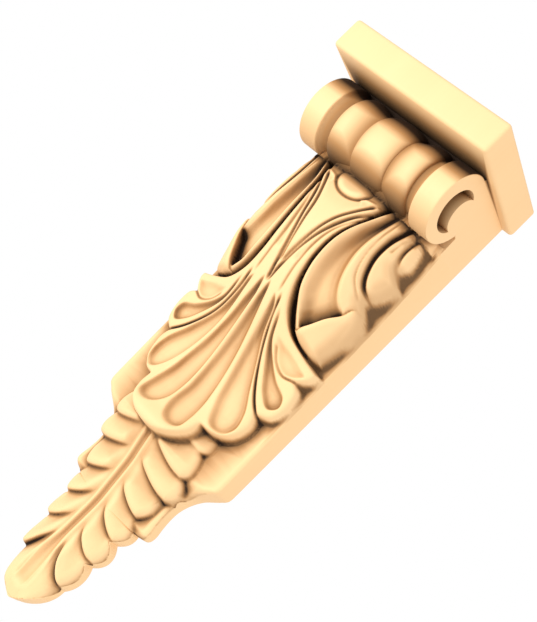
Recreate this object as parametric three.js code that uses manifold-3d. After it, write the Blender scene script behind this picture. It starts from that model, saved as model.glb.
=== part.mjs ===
// A carved wooden corbel: a square cap on a scroll roll, with an acanthus leaf that hangs down a board.
// Millimetres, +Z up. The wall is the plane y = 0 and the corbel stands out from it towards -Y.
// The carving is one function, relief(across, down): across from the middle line, down below the cap's top.

import * as THREE from "three";
import { RoundedBoxGeometry } from "three/addons/geometries/RoundedBoxGeometry.js";
import { mergeVertices } from "three/addons/utils/BufferGeometryUtils.js";
import Module from "manifold-3d";

const wasm = await Module();
wasm.setup();

// Driving sizes
const CAP_WIDTH = 150;
const CAP_HEIGHT = 26;
const CAP_DEPTH = 119;
const CAP_EDGE_RADIUS = 3;
const CAP_EDGE_STEPS = 3;
const TOTAL_LENGTH = 469.5;
const BOARD_HALF_WIDTH = 66.3;
const BOARD_END = 310;
const ORIGIN_BELOW_TOP = 150;

// Scroll roll: its axis runs along X
const ROLL_OUT = 73.5;
const ROLL_DOWN = 55.8;
const ROLL_RADIUS = 28.7;
const ROLL_VALLEY_RADIUS = 23.2;
const ROLL_BEAD_HALF_WIDTH = 16;
const ROLL_TORUS_PEAK = 31.5;
const ROLL_TORUS_END = 40;
const ROLL_COVE_END = 48.3;
const ROLL_TORUS_DROP = 0.7;
const ROLL_COVE_DROP = 0.6;
const ROLL_SIDES = 32;
const RECESS_RADIUS = 17.6;
const RECESS_DEPTH = 16;
const EYE_RADIUS = 14;
const EYE_OUT = 60;
const EYE_DOWN = 53.6;
const RECESS_OUT = 72.4;
const RECESS_DOWN = 56.8;

// The carved front starts inside the roll and is sampled on a grid of squares that bisection refines
const CARVING_TOP = 75;
const SQUARES = 6;
const SQUARE_CELLS = 128;
const SMALLEST_EDGE_CELLS = 6;
const HEIGHT_TOLERANCE = 2.2;

// Heights out of the wall down the middle line, at the leaf's side edges and along the board: [down, out]
const CREST = [[75, 76], [94, 83], [124, 88.5], [145, 86.5], [165, 80.5], [202, 66.8], [240, 53.6],
  [266, 49.2], [280, 51.5], [292, 56], [303, 61.5], [312, 60]];
const LEAF_EDGE = [[75, 46], [120, 43.5], [150, 40], [180, 39.8], [210, 40.8], [240, 36.5],
  [270, 28.9], [310, 24]];
const BOARD = [[75, 43.5], [98, 37.5], [120, 34.5], [150, 31.5], [195, 29.2], [270, 26.3],
  [310, 24.7], [335, 24.7]];
const STEM = [[310, 41], [326, 34.5], [337, 30], [349, 27], [360, 24.7], [375, 21.7], [390, 21.4],
  [452, 21.4], [469.5, 14]];
const FULLNESS = [[75, 3.5], [150, 3.5], [180, 2.3], [210, 1.15], [240, 1.35], [270, 2.7], [312, 2.7]];

// Carved lines on the right half as [across, down]
const ARM_EDGE = [[30, 75], [24.5, 103], [19.5, 124], [18, 145], [19.2, 166], [24, 182], [34, 193],
  [49, 198.5], [64, 202]];
const LOBE_FOUR_END = [[64, 202], [63.5, 207], [60, 212], [56.5, 215.8]];
const LOBE_THREE_END = [[56.5, 215.8], [61.5, 219.5], [63.5, 226], [63.5, 237], [60, 246], [51, 251]];
const LOBE_TWO_END = [[51, 251], [53.3, 260.6], [49, 274], [39, 281.5], [29.6, 282.8]];
const LEAF_LIP = [[29.6, 282.8], [28, 292.5], [21.5, 302], [11, 308.4], [0, 310]];
const PETAL_INNER = [[37, 75], [28.5, 98], [22, 120], [20, 143], [22, 162], [27.5, 178], [34.5, 190]];
const PETAL_FOOT = [[34.5, 190], [44, 195.3], [53, 196.8], [58, 194.5]];
const PETAL_OUTER = [[58, 194.5], [61.5, 181], [64, 163], [62.5, 152.5], [57.5, 143.5], [61.3, 134],
  [64, 120]];
const CURL_END = [[64, 120], [58.5, 112], [61, 104], [60.5, 97], [58.5, 87], [57, 75]];
const HOLLOW_RIB = [[37, 80], [28.5, 100], [24, 120], [23, 144], [26, 165], [31, 178.5], [38, 188]];
const HOLLOW_LIP = [[38, 188], [43, 180.5], [48.5, 170.5], [55.3, 160.5]];
const HOLLOW_RIM = [[55.3, 160.5], [49, 156], [43.5, 145.5], [40.2, 130], [39.2, 112], [42, 80]];
const FLAP_EDGE = [[37.5, 189.5], [43, 181], [49, 170.2], [55, 160.5], [58, 151.8], [63, 150.4]];
const FLAP_TOP = 150.5;
const SIDE_PETAL_LINE = [[50, 80], [46.5, 104], [48, 123], [53.5, 137.5], [61.8, 141.4]];
const CURL_LINE = [[55.8, 82], [55.2, 100], [58.5, 113], [65.2, 119]];
const ARM_RIB = [[38, 82], [29, 93.5], [19.5, 106.5], [11.6, 126], [6, 146], [1.8, 168], [0, 181.5]];
const ARM_HOLLOW = [[30, 95], [19, 112], [12.5, 135], [9, 160]];
const OVERLAP_LINE = [[15.5, 176], [18.5, 195], [24.7, 214.5], [34, 231.5], [43, 243.5], [51.5, 251.5]];
const FLUTE_ONE = [[0.7, 190], [0.9, 230], [1, 266], [2, 288], [8, 297], [16, 299], [22.5, 295.5],
  [23, 285], [19.5, 262], [15.5, 240], [11, 216], [7, 192], [3.2, 176]];
const FLUTE_TWO = [[11, 180], [14.5, 219], [19, 243], [25.7, 266], [33.6, 278.6], [43, 279],
  [48.5, 269], [46, 256], [37.5, 241.5], [28.5, 224.5], [20.5, 207], [15.5, 186]];
const FLUTE_THREE = [[19.5, 186], [25, 208], [35, 224.6], [45, 237.4], [54, 242.7], [60, 237],
  [58, 229.5], [47, 224], [37, 216], [27.5, 205], [21.5, 186]];
const FLUTE_FOUR = [[27, 199], [37, 213.5], [46, 218], [55, 214], [60, 208.5], [52, 205.5],
  [38, 201.5]];

// Bead below the roll: the lower half of an ellipse
const BEAD_LEVEL = 87;
const BEAD_HALF_WIDTH = 15;
const BEAD_HALF_HEIGHT = 12;
const BEAD_RISE = 2.4;
const BEAD_ROUNDING = 6;

// The cup of the side petal and the flap that turns over at its lower end
const HOLLOW_DEPTH = 11;
const HOLLOW_SIDE = 8;
const HOLLOW_LIP_WALL = 1.2;
const FLAP_RISE = 4.2;
const FLAP_SLOPE = 0.36;

// Leaflets of the hanging leaf, from the tip up: widest place [across, down], vertical half-length,
// outer edge height, and the lower end [across, down] with how far it has dropped from the stem to there
const LEAFLETS = [
  { wide: [23.2, 439.5], reach: 30, edge: 8.5, end: [10, 475], drop: 0 },
  { wide: [28.9, 424], reach: 25, edge: 11, end: [22.5, 436.5], drop: 38 },
  { wide: [33, 400], reach: 20, edge: 10, end: [25, 409], drop: 23 },
  { wide: [34.9, 376.5], reach: 20, edge: 12, end: [28.5, 387.4], drop: 22 },
  { wide: [37.9, 349], reach: 24, edge: 18, end: [30, 363], drop: 16 },
  { wide: [44.6, 331], reach: 18.5, edge: 22, end: [34, 340], drop: 13 },
  { wide: [43.9, 311.5], reach: 18, edge: 28, end: [34, 320.5], drop: 13 },
  { wide: [43, 290], reach: 16, edge: 27, end: [37.5, 299], drop: 8 },
];
const LEAFLET_ROUNDING = 5.5;
const LEAFLET_RISE = 5.2;
const LEAFLET_LENGTH = 23;
const LEAFLET_UPPER_REACH = 1.6;
const LEAFLET_WALL = 4;
const LEAFLET_FLATTER = 0.8;
const LEAFLET_STEM_CORNER = 0.1;
const STEM_HALF_WIDTH = 5.5;
const STEM_PLATEAU = 9;
const STEM_SLOPE = 1.2;
const STEM_GROOVE_HALF_WIDTH = 2.6;
const STEM_GROOVE_DEPTH = 2.2;
const STEM_GROOVE_END = 461;
const SPOON_START = 405;
const SPOON_LENGTH = 45;
const SPOON_HALF_WIDTH = 6;
const SPOON_DEPTH = 2.4;
const SPOON_TIP_LENGTH = 9;
const GROOVE_TIP_LENGTH = 12;

// Shoulders of the board and the small wings below them, as [down, half-width]
const SHOULDERS = [[300, BOARD_HALF_WIDTH], [308, 65.5], [313, 61], [321, 52.3], [330, 46.6],
  [339, 43.6], [347, 43], [356, 43.7], [365, 44.8], [370.5, 42.5], [372.5, 37]];
const WING_HEIGHT = 14;
const WING_END = [366, 376];
const LOW_GROUND = 5;
const SHOULDER_STEP = [311, 324];
const SHOULDER_SLANT = 0.165;
const WING_ROUNDING = 5;
const BOARD_ROUNDING = 3;
const LEAF_ROUNDING = 3;
const PETAL_ROUNDING = 5;
const FLAP_ROUNDING = 9;
const FLAP_ROUNDING_FROM = [165, 180];
const EDGE_WALL = 1.8;

// The ground between the petals and the board's edge, as far below the leaf's swell as the leaf is thick
const LEAF_THICKNESS = 13;
const GROUND_END = 200;
const GROUND_FADE = 14;
const GROUND_MARGIN = 9;
const LEAST_HEIGHT = 3;

const clamp01 = (value) => Math.min(1, Math.max(0, value));
const ease = (value) => clamp01(value) ** 2 * (3 - 2 * clamp01(value));
// A quarter circle that rises from 0 at the edge to 1 at distance 1
const quarter = (value) => Math.sqrt(1 - (1 - clamp01(value)) ** 2);

// Smooth curve through [place, value] pairs, as a function of place
function along(pairs) {
  const slope = (i) => {
    const [a, b] = [pairs[Math.max(i - 1, 0)], pairs[Math.min(i + 1, pairs.length - 1)]];
    return (b[1] - a[1]) / (b[0] - a[0]);
  };
  return (place) => {
    if (place <= pairs[0][0]) return pairs[0][1];
    if (place >= pairs.at(-1)[0]) return pairs.at(-1)[1];
    const i = pairs.findIndex((pair) => pair[0] > place) - 1;
    const [[x0, y0], [x1, y1]] = [pairs[i], pairs[i + 1]];
    const span = x1 - x0;
    const t = (place - x0) / span;
    const bend = t * (1 - t) * span;
    return y0 + (y1 - y0) * ease(t) + bend * ((1 - t) * slope(i) - t * slope(i + 1));
  };
}

// Points of a smooth line through hand-placed points
const POINTS_PER_SPAN = 5;
const line = (points) =>
  new THREE.CatmullRomCurve3(points.map(([x, y]) => new THREE.Vector3(x, y, 0)), false, "centripetal")
    .getPoints((points.length - 1) * POINTS_PER_SPAN)
    .map((p) => [p.x, p.y]);

// Distance from a point to a chain of points, and how far along the chain the nearest place is, from 0 to 1
function nearest(chain, across, down) {
  let best = Infinity;
  let at = 0;
  for (let i = 0; i + 1 < chain.length; i++) {
    const [[x0, y0], [x1, y1]] = [chain[i], chain[i + 1]];
    const [dx, dy] = [x1 - x0, y1 - y0];
    const t = clamp01(((across - x0) * dx + (down - y0) * dy) / (dx * dx + dy * dy || 1));
    const distance = Math.hypot(x0 + t * dx - across, y0 + t * dy - down);
    if (distance < best) {
      best = distance;
      at = (i + t) / (chain.length - 1);
    }
  }
  return { distance: best, at };
}

function isInside(outline, across, down) {
  let inside = false;
  for (let i = 0, j = outline.length - 1; i < outline.length; j = i++) {
    const [[x0, y0], [x1, y1]] = [outline[i], outline[j]];
    if (y0 > down !== y1 > down && across < ((x1 - x0) * (down - y0)) / (y1 - y0) + x0) inside = !inside;
  }
  return inside;
}

// Signed distance to an edge line of a closed outline: above 0 inside it
const depthInside = (outline, edge, across, down) =>
  nearest(edge, across, down).distance * (isInside(outline, across, down) ? 1 : -1);

// How much of a line is cut at a place along it: it fades out over its last part
const FADE = 0.1;
const fadeEnd = (at) => ease((1 - at) / FADE);
const fadeStart = (at) => ease(at / FADE);
const fadeEnds = (at) => fadeEnd(at) * fadeStart(at);

const armEdge = line(ARM_EDGE);
const hollowRib = line(HOLLOW_RIB);
const hollowLip = line(HOLLOW_LIP);
const hollowRim = line(HOLLOW_RIM);
const flapEdge = line(FLAP_EDGE);
const leafEdge = [armEdge, ...[LOBE_FOUR_END, LOBE_THREE_END, LOBE_TWO_END, LEAF_LIP].map(line)].flat();
const leafOutline = [[0, CARVING_TOP], ...leafEdge];
const petalEdge = [...line(PETAL_INNER), ...line(PETAL_FOOT), ...line(PETAL_OUTER), ...line(CURL_END)];
const hollowOutline = [...hollowRib, ...hollowLip, ...hollowRim];
const flapOutline = [
  ...flapEdge,
  ...line(PETAL_OUTER).filter(([, down]) => down > FLAP_TOP).reverse(),
  ...line(PETAL_FOOT).reverse(),
];
const closed = (points) => line([...points, points[0]]);
const flutes = [
  { outline: closed(FLUTE_ONE), depth: 4.8, width: 4.2, from: 168, full: 186 },
  { outline: closed(FLUTE_TWO), depth: 4.8, width: 4.2, from: 172, full: 190 },
  { outline: closed(FLUTE_THREE), depth: 4.2, width: 3.6, from: 182, full: 198 },
  { outline: closed(FLUTE_FOUR), depth: 3, width: 6, from: 198, full: 206 },
];

// V-shaped cuts along lines
const leafCuts = [
  { chain: line(ARM_RIB), width: 2.4, depth: 3.2, fade: fadeEnd },
  { chain: line(ARM_HOLLOW), width: 3, depth: 1.6, fade: fadeEnds },
  { chain: line(OVERLAP_LINE), width: 2.2, depth: 3, fade: fadeStart },
];
const petalCuts = [
  { chain: line(SIDE_PETAL_LINE), width: 1.9, depth: 7, fade: fadeEnd },
  { chain: line(CURL_LINE), width: 1.5, depth: 4.5, fade: () => 1 },
];

const crestAt = along(CREST);
const leafEdgeAt = along(LEAF_EDGE);
const fullnessAt = along(FULLNESS);
const boardAt = along(BOARD);
const stemAt = along(STEM);
const shoulderAt = along(SHOULDERS);

// The leaf's swell before its lobes are cut
function swell(across, down) {
  const edge = leafEdgeAt(down);
  return edge + (crestAt(down) - edge) * (1 - Math.min(1, across / BOARD_HALF_WIDTH) ** fullnessAt(down));
}

// How deep a cut is at a point
function cutDepth({ chain, width, depth, fade }, across, down) {
  const { distance, at } = nearest(chain, across, down);
  return depth * fade(at) * Math.exp(-((distance / width) ** 2));
}

// A round bowl: 0 at its rim and 1 from a distance of 1 inwards
const bowl = (value) => 1 - (1 - clamp01(value)) ** 2;

// How far a rounded edge lies below the surface, at a distance inside it
const rounded = (inside, radius) => radius * (1 - quarter(inside / radius));

// Middle panel with its bead, arms and the four fluted lobes of each side
function lowerLeaf(across, down) {
  let out = swell(across, down);
  for (const cut of leafCuts) out -= cutDepth(cut, across, down);
  for (const flute of flutes) {
    const inside = depthInside(flute.outline, flute.outline, across, down);
    out -= flute.depth * bowl(inside / flute.width) * ease((down - flute.from) / (flute.full - flute.from));
  }
  const inBead = 1 - Math.hypot(across / BEAD_HALF_WIDTH, (down - BEAD_LEVEL) / BEAD_HALF_HEIGHT);
  return out + BEAD_RISE * bowl((inBead * BEAD_HALF_WIDTH) / BEAD_ROUNDING);
}

// The cupped side petal with its turned-over flap, the convex petal behind it and the small curl
function petal(across, down) {
  let out = swell(across, down) + 1;
  if (isInside(hollowOutline, across, down)) {
    const side = Math.min(...[hollowRib, hollowRim].map((edge) => nearest(edge, across, down).distance));
    const lip = nearest(hollowLip, across, down).distance;
    out -= HOLLOW_DEPTH * bowl(side / HOLLOW_SIDE) * clamp01(lip / HOLLOW_LIP_WALL);
  }
  const flap = depthInside(flapOutline, flapEdge, across, down);
  if (flap > 0) out += FLAP_RISE * quarter(flap / FLAP_RISE) - FLAP_SLOPE * Math.max(0, flap - FLAP_RISE);
  for (const cut of petalCuts) out -= cutDepth(cut, across, down);
  return out;
}

// Half-width of a leaflet's ellipse at one level
function leafletHalfWidth({ wide, reach }, down, upperReach = 1, power = 0.5) {
  const lift = (down - wide[1]) / (down < wide[1] ? upperReach * reach : reach);
  return wide[0] * Math.max(1 - lift * lift, 0) ** power;
}

// The stem and its overlapping leaflets, the lowest first: cushions that swell towards their lower edges
function hangingLeaf(across, down, behind) {
  const stem = stemAt(down);
  let out = Math.max(behind, stem - STEM_SLOPE * Math.max(across - STEM_HALF_WIDTH, 0));
  const away = ease((across - STEM_HALF_WIDTH) / STEM_PLATEAU);
  for (const leaflet of LEAFLETS) {
    const { wide, edge, end, drop } = leaflet;
    const above = end[1] - drop * clamp01(1 - across / end[0]) ** 1.5 - down;
    const inside = Math.min(above, leafletHalfWidth(leaflet, down, LEAFLET_UPPER_REACH) - across);
    const share = clamp01(across / wide[0]);
    const top = stem + (edge - stem) * share ** 2.5;
    const flatter = 1 - LEAFLET_FLATTER * share ** 4;
    const rise = LEAFLET_RISE * away * flatter * (1 - ease(above / LEAFLET_LENGTH));
    const cornerShare = LEAFLET_STEM_CORNER + (1 - LEAFLET_STEM_CORNER) * away;
    const corner = cornerShare * rounded(inside, LEAFLET_ROUNDING);
    out = Math.max(out, top + rise - corner - LEAFLET_WALL * Math.max(-inside, 0));
  }
  return out;
}

function stemGroove(across, down) {
  const reach = STEM_GROOVE_END - down;
  const spoon = ease((down - SPOON_START) / SPOON_LENGTH);
  const halfWidth = (STEM_GROOVE_HALF_WIDTH + SPOON_HALF_WIDTH * spoon) * quarter(reach / SPOON_TIP_LENGTH);
  if (halfWidth <= 0) return 0;
  const dip = clamp01(1 - (across / halfWidth) ** 2) ** 1.5;
  return (STEM_GROOVE_DEPTH + SPOON_DEPTH * spoon) * dip * ease(reach / GROOVE_TIP_LENGTH);
}

// Height of the flat board, of the wing or of the low ground that lies behind the leaf
function backing(across, down) {
  const slant = SHOULDER_SLANT * (BOARD_HALF_WIDTH - across);
  const step = ease((down - SHOULDER_STEP[0] - slant) / (SHOULDER_STEP[1] - SHOULDER_STEP[0]));
  const past = ease((down - WING_END[0]) / (WING_END[1] - WING_END[0]));
  const wing = WING_HEIGHT + (LOW_GROUND - WING_HEIGHT) * past;
  return boardAt(down) + (wing - boardAt(down)) * step;
}

// Half-width of the whole carving at one level
function halfWidth(down) {
  const leaflets = LEAFLETS.map((leaflet, i) => leafletHalfWidth(leaflet, down, 1, i ? 0.5 : 0.8));
  const board = down < SHOULDERS.at(-1)[0] ? shoulderAt(down) : 0;
  return Math.max(board, ...leaflets, 1);
}

// Height of the carved front out of the wall
function relief(across, down) {
  const edge = halfWidth(down) - across;
  const back = backing(across, down);
  let out = back - rounded(edge, down > SHOULDER_STEP[0] ? WING_ROUNDING : BOARD_ROUNDING);
  if (down > BOARD_END - 40) out = hangingLeaf(across, down, out);
  if (down > BOARD_END) out -= stemGroove(across, down);
  if (down < BOARD_END + 2) {
    const nearEdge = ease((BOARD_HALF_WIDTH - 1 - across) / GROUND_MARGIN);
    const nearPetals = ease((GROUND_END - down) / GROUND_FADE);
    out += Math.max(swell(across, down) - LEAF_THICKNESS - out, 0) * nearEdge * nearPetals;
    const overlay = (inside, height, radius) => {
      if (inside <= -EDGE_WALL) return;
      out += (height(across, down) - rounded(inside, radius) - out) * ease(inside / EDGE_WALL + 1);
    };
    overlay(depthInside(leafOutline, leafEdge, across, down), lowerLeaf, LEAF_ROUNDING);
    const [from, full] = FLAP_ROUNDING_FROM;
    const radius = PETAL_ROUNDING + (FLAP_ROUNDING - PETAL_ROUNDING) * ease((down - from) / (full - from));
    overlay(depthInside(petalEdge, petalEdge, across, down), petal, radius);
  }
  return Math.max(out, LEAST_HEIGHT);
}

// Bisects right triangles on the grid, with all that share an edge, until they follow the heights
function refine(cellsAcross, cellsDown, heightAt) {
  let triangles = [];
  for (let top = 0; top < cellsDown; top += cellsAcross) {
    const [a, b, c, d] = [[0, top], [cellsAcross, top], [cellsAcross, top + cellsAcross],
  [0, top + cellsAcross]];
    triangles.push([b, c, a], [d, a, c]);
  }
  const key = (p, q) => [p[0] + q[0], p[1] + q[1]].join();
  const edgeLength = ([, p, q]) => Math.hypot(p[0] - q[0], p[1] - q[1]);
  const misses = (triangle) => {
    if (edgeLength(triangle) <= SMALLEST_EDGE_CELLS) return false;
    const [a, b, c] = triangle;
    const area = (b[0] - a[0]) * (c[1] - a[1]) - (c[0] - a[0]) * (b[1] - a[1]);
    const [ha, hb, hc] = triangle.map(([i, j]) => heightAt(i, j));
    const [left, right] = [Math.min(a[0], b[0], c[0]), Math.max(a[0], b[0], c[0])];
    const [first, last] = [Math.min(a[1], b[1], c[1]), Math.max(a[1], b[1], c[1])];
    for (let i = left; i <= right; i++)
      for (let j = first; j <= last; j++) {
        const u = ((i - a[0]) * (c[1] - a[1]) - (c[0] - a[0]) * (j - a[1])) / area;
        const v = ((b[0] - a[0]) * (j - a[1]) - (i - a[0]) * (b[1] - a[1])) / area;
        if (u < 0 || v < 0 || u + v > 1) continue;
        if (Math.abs(ha + u * (hb - ha) + v * (hc - ha) - heightAt(i, j)) > HEIGHT_TOLERANCE) return true;
      }
    return false;
  };
  const split = new Set();
  for (;;) {
    for (const triangle of triangles) if (misses(triangle)) split.add(key(triangle[1], triangle[2]));
    for (let before = -1; before !== split.size; ) {
      before = split.size;
      for (const [apex, p, q] of triangles)
        if (split.has(key(apex, p)) || split.has(key(apex, q))) split.add(key(p, q));
    }
    if (!triangles.some(([, p, q]) => split.has(key(p, q)))) return triangles;
    triangles = triangles.flatMap((triangle) => {
      const [apex, p, q] = triangle;
      if (!split.has(key(p, q))) return [triangle];
      const middle = [(p[0] + q[0]) / 2, (p[1] + q[1]) / 2];
      return [[middle, apex, p], [middle, q, apex]];
    });
  }
}

// Closed body between the carved front and the wall
function carvedBody() {
  const cellsDown = SQUARES * SQUARE_CELLS;
  const downAt = (j) => CARVING_TOP + ((TOTAL_LENGTH - CARVING_TOP) * j) / cellsDown;
  const place = (i, j) => [(i / SQUARE_CELLS) * halfWidth(downAt(j)), downAt(j)];
  const heights = Array.from({ length: (SQUARE_CELLS + 1) * (cellsDown + 1) }, (_, n) =>
    relief(...place(n % (SQUARE_CELLS + 1), Math.floor(n / (SQUARE_CELLS + 1)))));
  const heightAt = (i, j) => heights[j * (SQUARE_CELLS + 1) + i];
  const positions = [];
  const push = (...corners) => corners.forEach(([x, out, down]) => positions.push(x, -out, -down));
  const front = ([i, j], side) => [side * place(i, j)[0], heightAt(i, j), downAt(j)];
  const triangles = refine(SQUARE_CELLS, cellsDown, heightAt);
  for (const [a, b, c] of triangles) {
    push(front(a, 1), front(c, 1), front(b, 1));
    push(front(a, -1), front(b, -1), front(c, -1));
  }
  const border = (test, order) => {
    const seen = new Map(triangles.flat().filter(test).map((p) => [p.join(), p]));
    return [...seen.values()].sort((p, q) => p[order] - q[order]);
  };
  const sides = border(([i]) => i === SQUARE_CELLS, 1);
  for (let k = 0; k + 1 < sides.length; k++) {
    const [p, q] = [sides[k], sides[k + 1]];
    for (const side of [1, -1]) {
      const wall = [front(p, side), front(q, side)];
      const foot = wall.map(([x, , down]) => [x, 0, down]);
      const turn = (...corners) => push(...(side < 0 ? corners : corners.reverse()));
      turn(wall[0], foot[0], wall[1]);
      turn(wall[1], foot[0], foot[1]);
      const middle = foot.map(([, , down]) => [0, 0, down]);
      turn(foot[0], middle[0], foot[1]);
      turn(foot[1], middle[0], middle[1]);
    }
  }
  for (const row of [0, cellsDown]) {
    const half = border(([, j]) => j === row, 0);
    const rim = [...half.slice(1).reverse().map((p) => front(p, -1)), ...half.map((p) => front(p, 1))];
    const last = rim.at(-1);
    const loop = [...rim, [last[0], 0, last[2]], [0, 0, last[2]], [-last[0], 0, last[2]]];
    const flat = loop.map(([x, out]) => new THREE.Vector2(x, out));
    for (const face of THREE.ShapeUtils.triangulateShape(flat, [])) {
      const corners = face.map((n) => loop[n]);
      const facesDown = THREE.ShapeUtils.area(face.map((n) => flat[n])) > 0;
      push(...(facesDown === (row !== 0) ? corners : corners.reverse()));
    }
  }
  const geometry = new THREE.BufferGeometry();
  geometry.setAttribute("position", new THREE.Float32BufferAttribute(positions, 3));
  return geometry;
}

// Square cap with soft edges, cut flat at the wall
function capGeometry() {
  const spare = 2 * CAP_EDGE_RADIUS;
  const depth = CAP_DEPTH + spare;
  const box = new RoundedBoxGeometry(CAP_WIDTH, depth, CAP_HEIGHT, CAP_EDGE_STEPS, CAP_EDGE_RADIUS);
  return box.translate(0, spare / 2 - CAP_DEPTH / 2, -CAP_HEIGHT / 2);
}

// Block behind and above the roll, from the cap down to the top of the carved front
function neckGeometry() {
  const foot = CARVING_TOP + 5;
  const side = new THREE.Shape([
    [0, CAP_HEIGHT - 5],
    [ROLL_OUT, CAP_HEIGHT - 5],
    [ROLL_OUT, ROLL_DOWN],
    [boardAt(CARVING_TOP), CARVING_TOP - 10.5],
    [boardAt(foot), foot],
    [0, foot],
  ].map(([out, down]) => new THREE.Vector2(-out, -down)));
  const block = new THREE.ExtrudeGeometry(side, { depth: 2 * BOARD_HALF_WIDTH, bevelEnabled: false });
  return block.translate(0, 0, -BOARD_HALF_WIDTH).applyMatrix4(SIDEWAYS);
}

// Takes a shape drawn in X and Y and extruded along Z to one drawn in Y and Z and extruded along X
const SIDEWAYS = new THREE.Matrix4().makeBasis(
  new THREE.Vector3(0, 1, 0), new THREE.Vector3(0, 0, 1), new THREE.Vector3(1, 0, 0));

// Radius of the roll: a middle bead, a torus that peaks near its outer end, a cove and a plain end band
function rollRadius(x) {
  const rise = ROLL_RADIUS - ROLL_VALLEY_RADIUS;
  const bead = x / ROLL_BEAD_HALF_WIDTH;
  if (bead <= 1) return ROLL_VALLEY_RADIUS + rise * (1 - bead ** 2.2) ** 0.65;
  if (x <= ROLL_TORUS_END) {
    const inner = ease((x - ROLL_BEAD_HALF_WIDTH) / (ROLL_TORUS_PEAK - ROLL_BEAD_HALF_WIDTH)) ** 0.75;
    const outer = quarter((ROLL_TORUS_END - x) / (ROLL_TORUS_END - ROLL_TORUS_PEAK));
    return ROLL_VALLEY_RADIUS + (rise - ROLL_TORUS_DROP) * (x < ROLL_TORUS_PEAK ? inner : outer);
  }
  const climb = (x - ROLL_TORUS_END) / (ROLL_COVE_END - ROLL_TORUS_END);
  return ROLL_VALLEY_RADIUS - ROLL_COVE_DROP + (rise - 1) * (1 - Math.sqrt(Math.max(0, 1 - climb * climb)));
}

function rollGeometry() {
  const marks = [0, 0.35, 0.62, 0.82, 0.95, 1].map((share) => share * ROLL_BEAD_HALF_WIDTH);
  const torus = ROLL_TORUS_PEAK - ROLL_BEAD_HALF_WIDTH;
  marks.push(...[0.12, 0.35, 0.65, 1].map((share) => ROLL_BEAD_HALF_WIDTH + share * torus));
  const outer = ROLL_TORUS_END - ROLL_TORUS_PEAK;
  marks.push(...[0.5, 0.85, 1].map((share) => ROLL_TORUS_PEAK + share * outer));
  const cove = ROLL_COVE_END - ROLL_TORUS_END;
  marks.push(...[0.5, 0.85, 1].map((share) => ROLL_TORUS_END + share * cove));
  const half = [
    ...marks.map((x) => [x, rollRadius(x)]),
    [ROLL_COVE_END + 1, ROLL_RADIUS],
    [BOARD_HALF_WIDTH - 1, ROLL_RADIUS],
    [BOARD_HALF_WIDTH, ROLL_RADIUS - 1],
  ];
  const profile = [
    [-BOARD_HALF_WIDTH, 0],
    ...half.slice(1).reverse().map(([x, radius]) => [-x, radius]),
    ...half,
    [BOARD_HALF_WIDTH, 0],
  ];
  const turned = profile.map(([x, radius]) => new THREE.Vector2(radius, x));
  const roll = new THREE.LatheGeometry(turned, ROLL_SIDES);
  return roll.rotateZ(-Math.PI / 2).translate(0, -ROLL_OUT, -ROLL_DOWN);
}

// Disc across X, used to cut the recess of a scroll and to keep its eye
function disc(radius, out, down, side) {
  const cylinder = new THREE.CylinderGeometry(radius, radius, 2 * RECESS_DEPTH, ROLL_SIDES);
  return solid(cylinder.rotateZ(Math.PI / 2).translate(side * BOARD_HALF_WIDTH, -out, -down));
}

// A closed geometry as a solid for joins and cuts
function solid(geometry) {
  const plain = geometry.index ? geometry.toNonIndexed() : geometry.clone();
  plain.deleteAttribute("normal");
  plain.deleteAttribute("uv");
  const merged = mergeVertices(plain, 1e-3);
  const indices = Array.from(merged.index.array);
  const triVerts = [];
  for (let i = 0; i < indices.length; i += 3) {
    const [a, b, c] = indices.slice(i, i + 3);
    if (a !== b && b !== c && c !== a) triVerts.push(a, b, c);
  }
  const mesh = new wasm.Mesh({
    numProp: 3,
    vertProperties: merged.attributes.position.array,
    triVerts: new Uint32Array(triVerts),
  });
  return new wasm.Manifold(mesh);
}

function corbelGeometry() {
  let body = solid(capGeometry());
  for (const geometry of [neckGeometry(), rollGeometry(), carvedBody()]) body = body.add(solid(geometry));
  for (const side of [-1, 1]) {
    const eye = disc(EYE_RADIUS, EYE_OUT, EYE_DOWN, side);
    body = body.subtract(disc(RECESS_RADIUS, RECESS_OUT, RECESS_DOWN, side).subtract(eye));
  }
  const wall = new THREE.BoxGeometry(2 * CAP_WIDTH, CAP_DEPTH, 3 * TOTAL_LENGTH);
  body = body.subtract(solid(wall.translate(0, CAP_DEPTH / 2, 0)));
  const { vertProperties, triVerts } = body.getMesh();
  const geometry = new THREE.BufferGeometry();
  geometry.setAttribute("position", new THREE.BufferAttribute(vertProperties, 3));
  geometry.setIndex(new THREE.BufferAttribute(triVerts, 1));
  geometry.translate(0, 0, ORIGIN_BELOW_TOP);
  geometry.computeVertexNormals();
  return geometry;
}

const wood = new THREE.MeshStandardMaterial({ color: 0xdcb27c, roughness: 0.5, metalness: 0 });
const corbel = new THREE.Mesh(corbelGeometry(), wood);
corbel.name = "corbel";

export default new THREE.Group().add(corbel);
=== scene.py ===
"""A carved wooden corbel: square cap, scroll roll, acanthus leaf and hanging leaf, cut from one block.

The carving is a height field: relief(across, down) gives how far the wood stands out of the wall at a
distance across from the middle line and a depth below the cap's top, both in millimetres.
"""

import logging
import math
from dataclasses import dataclass, field
from enum import Enum

import bpy
import numpy as np
from mathutils import Matrix, Vector

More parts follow.
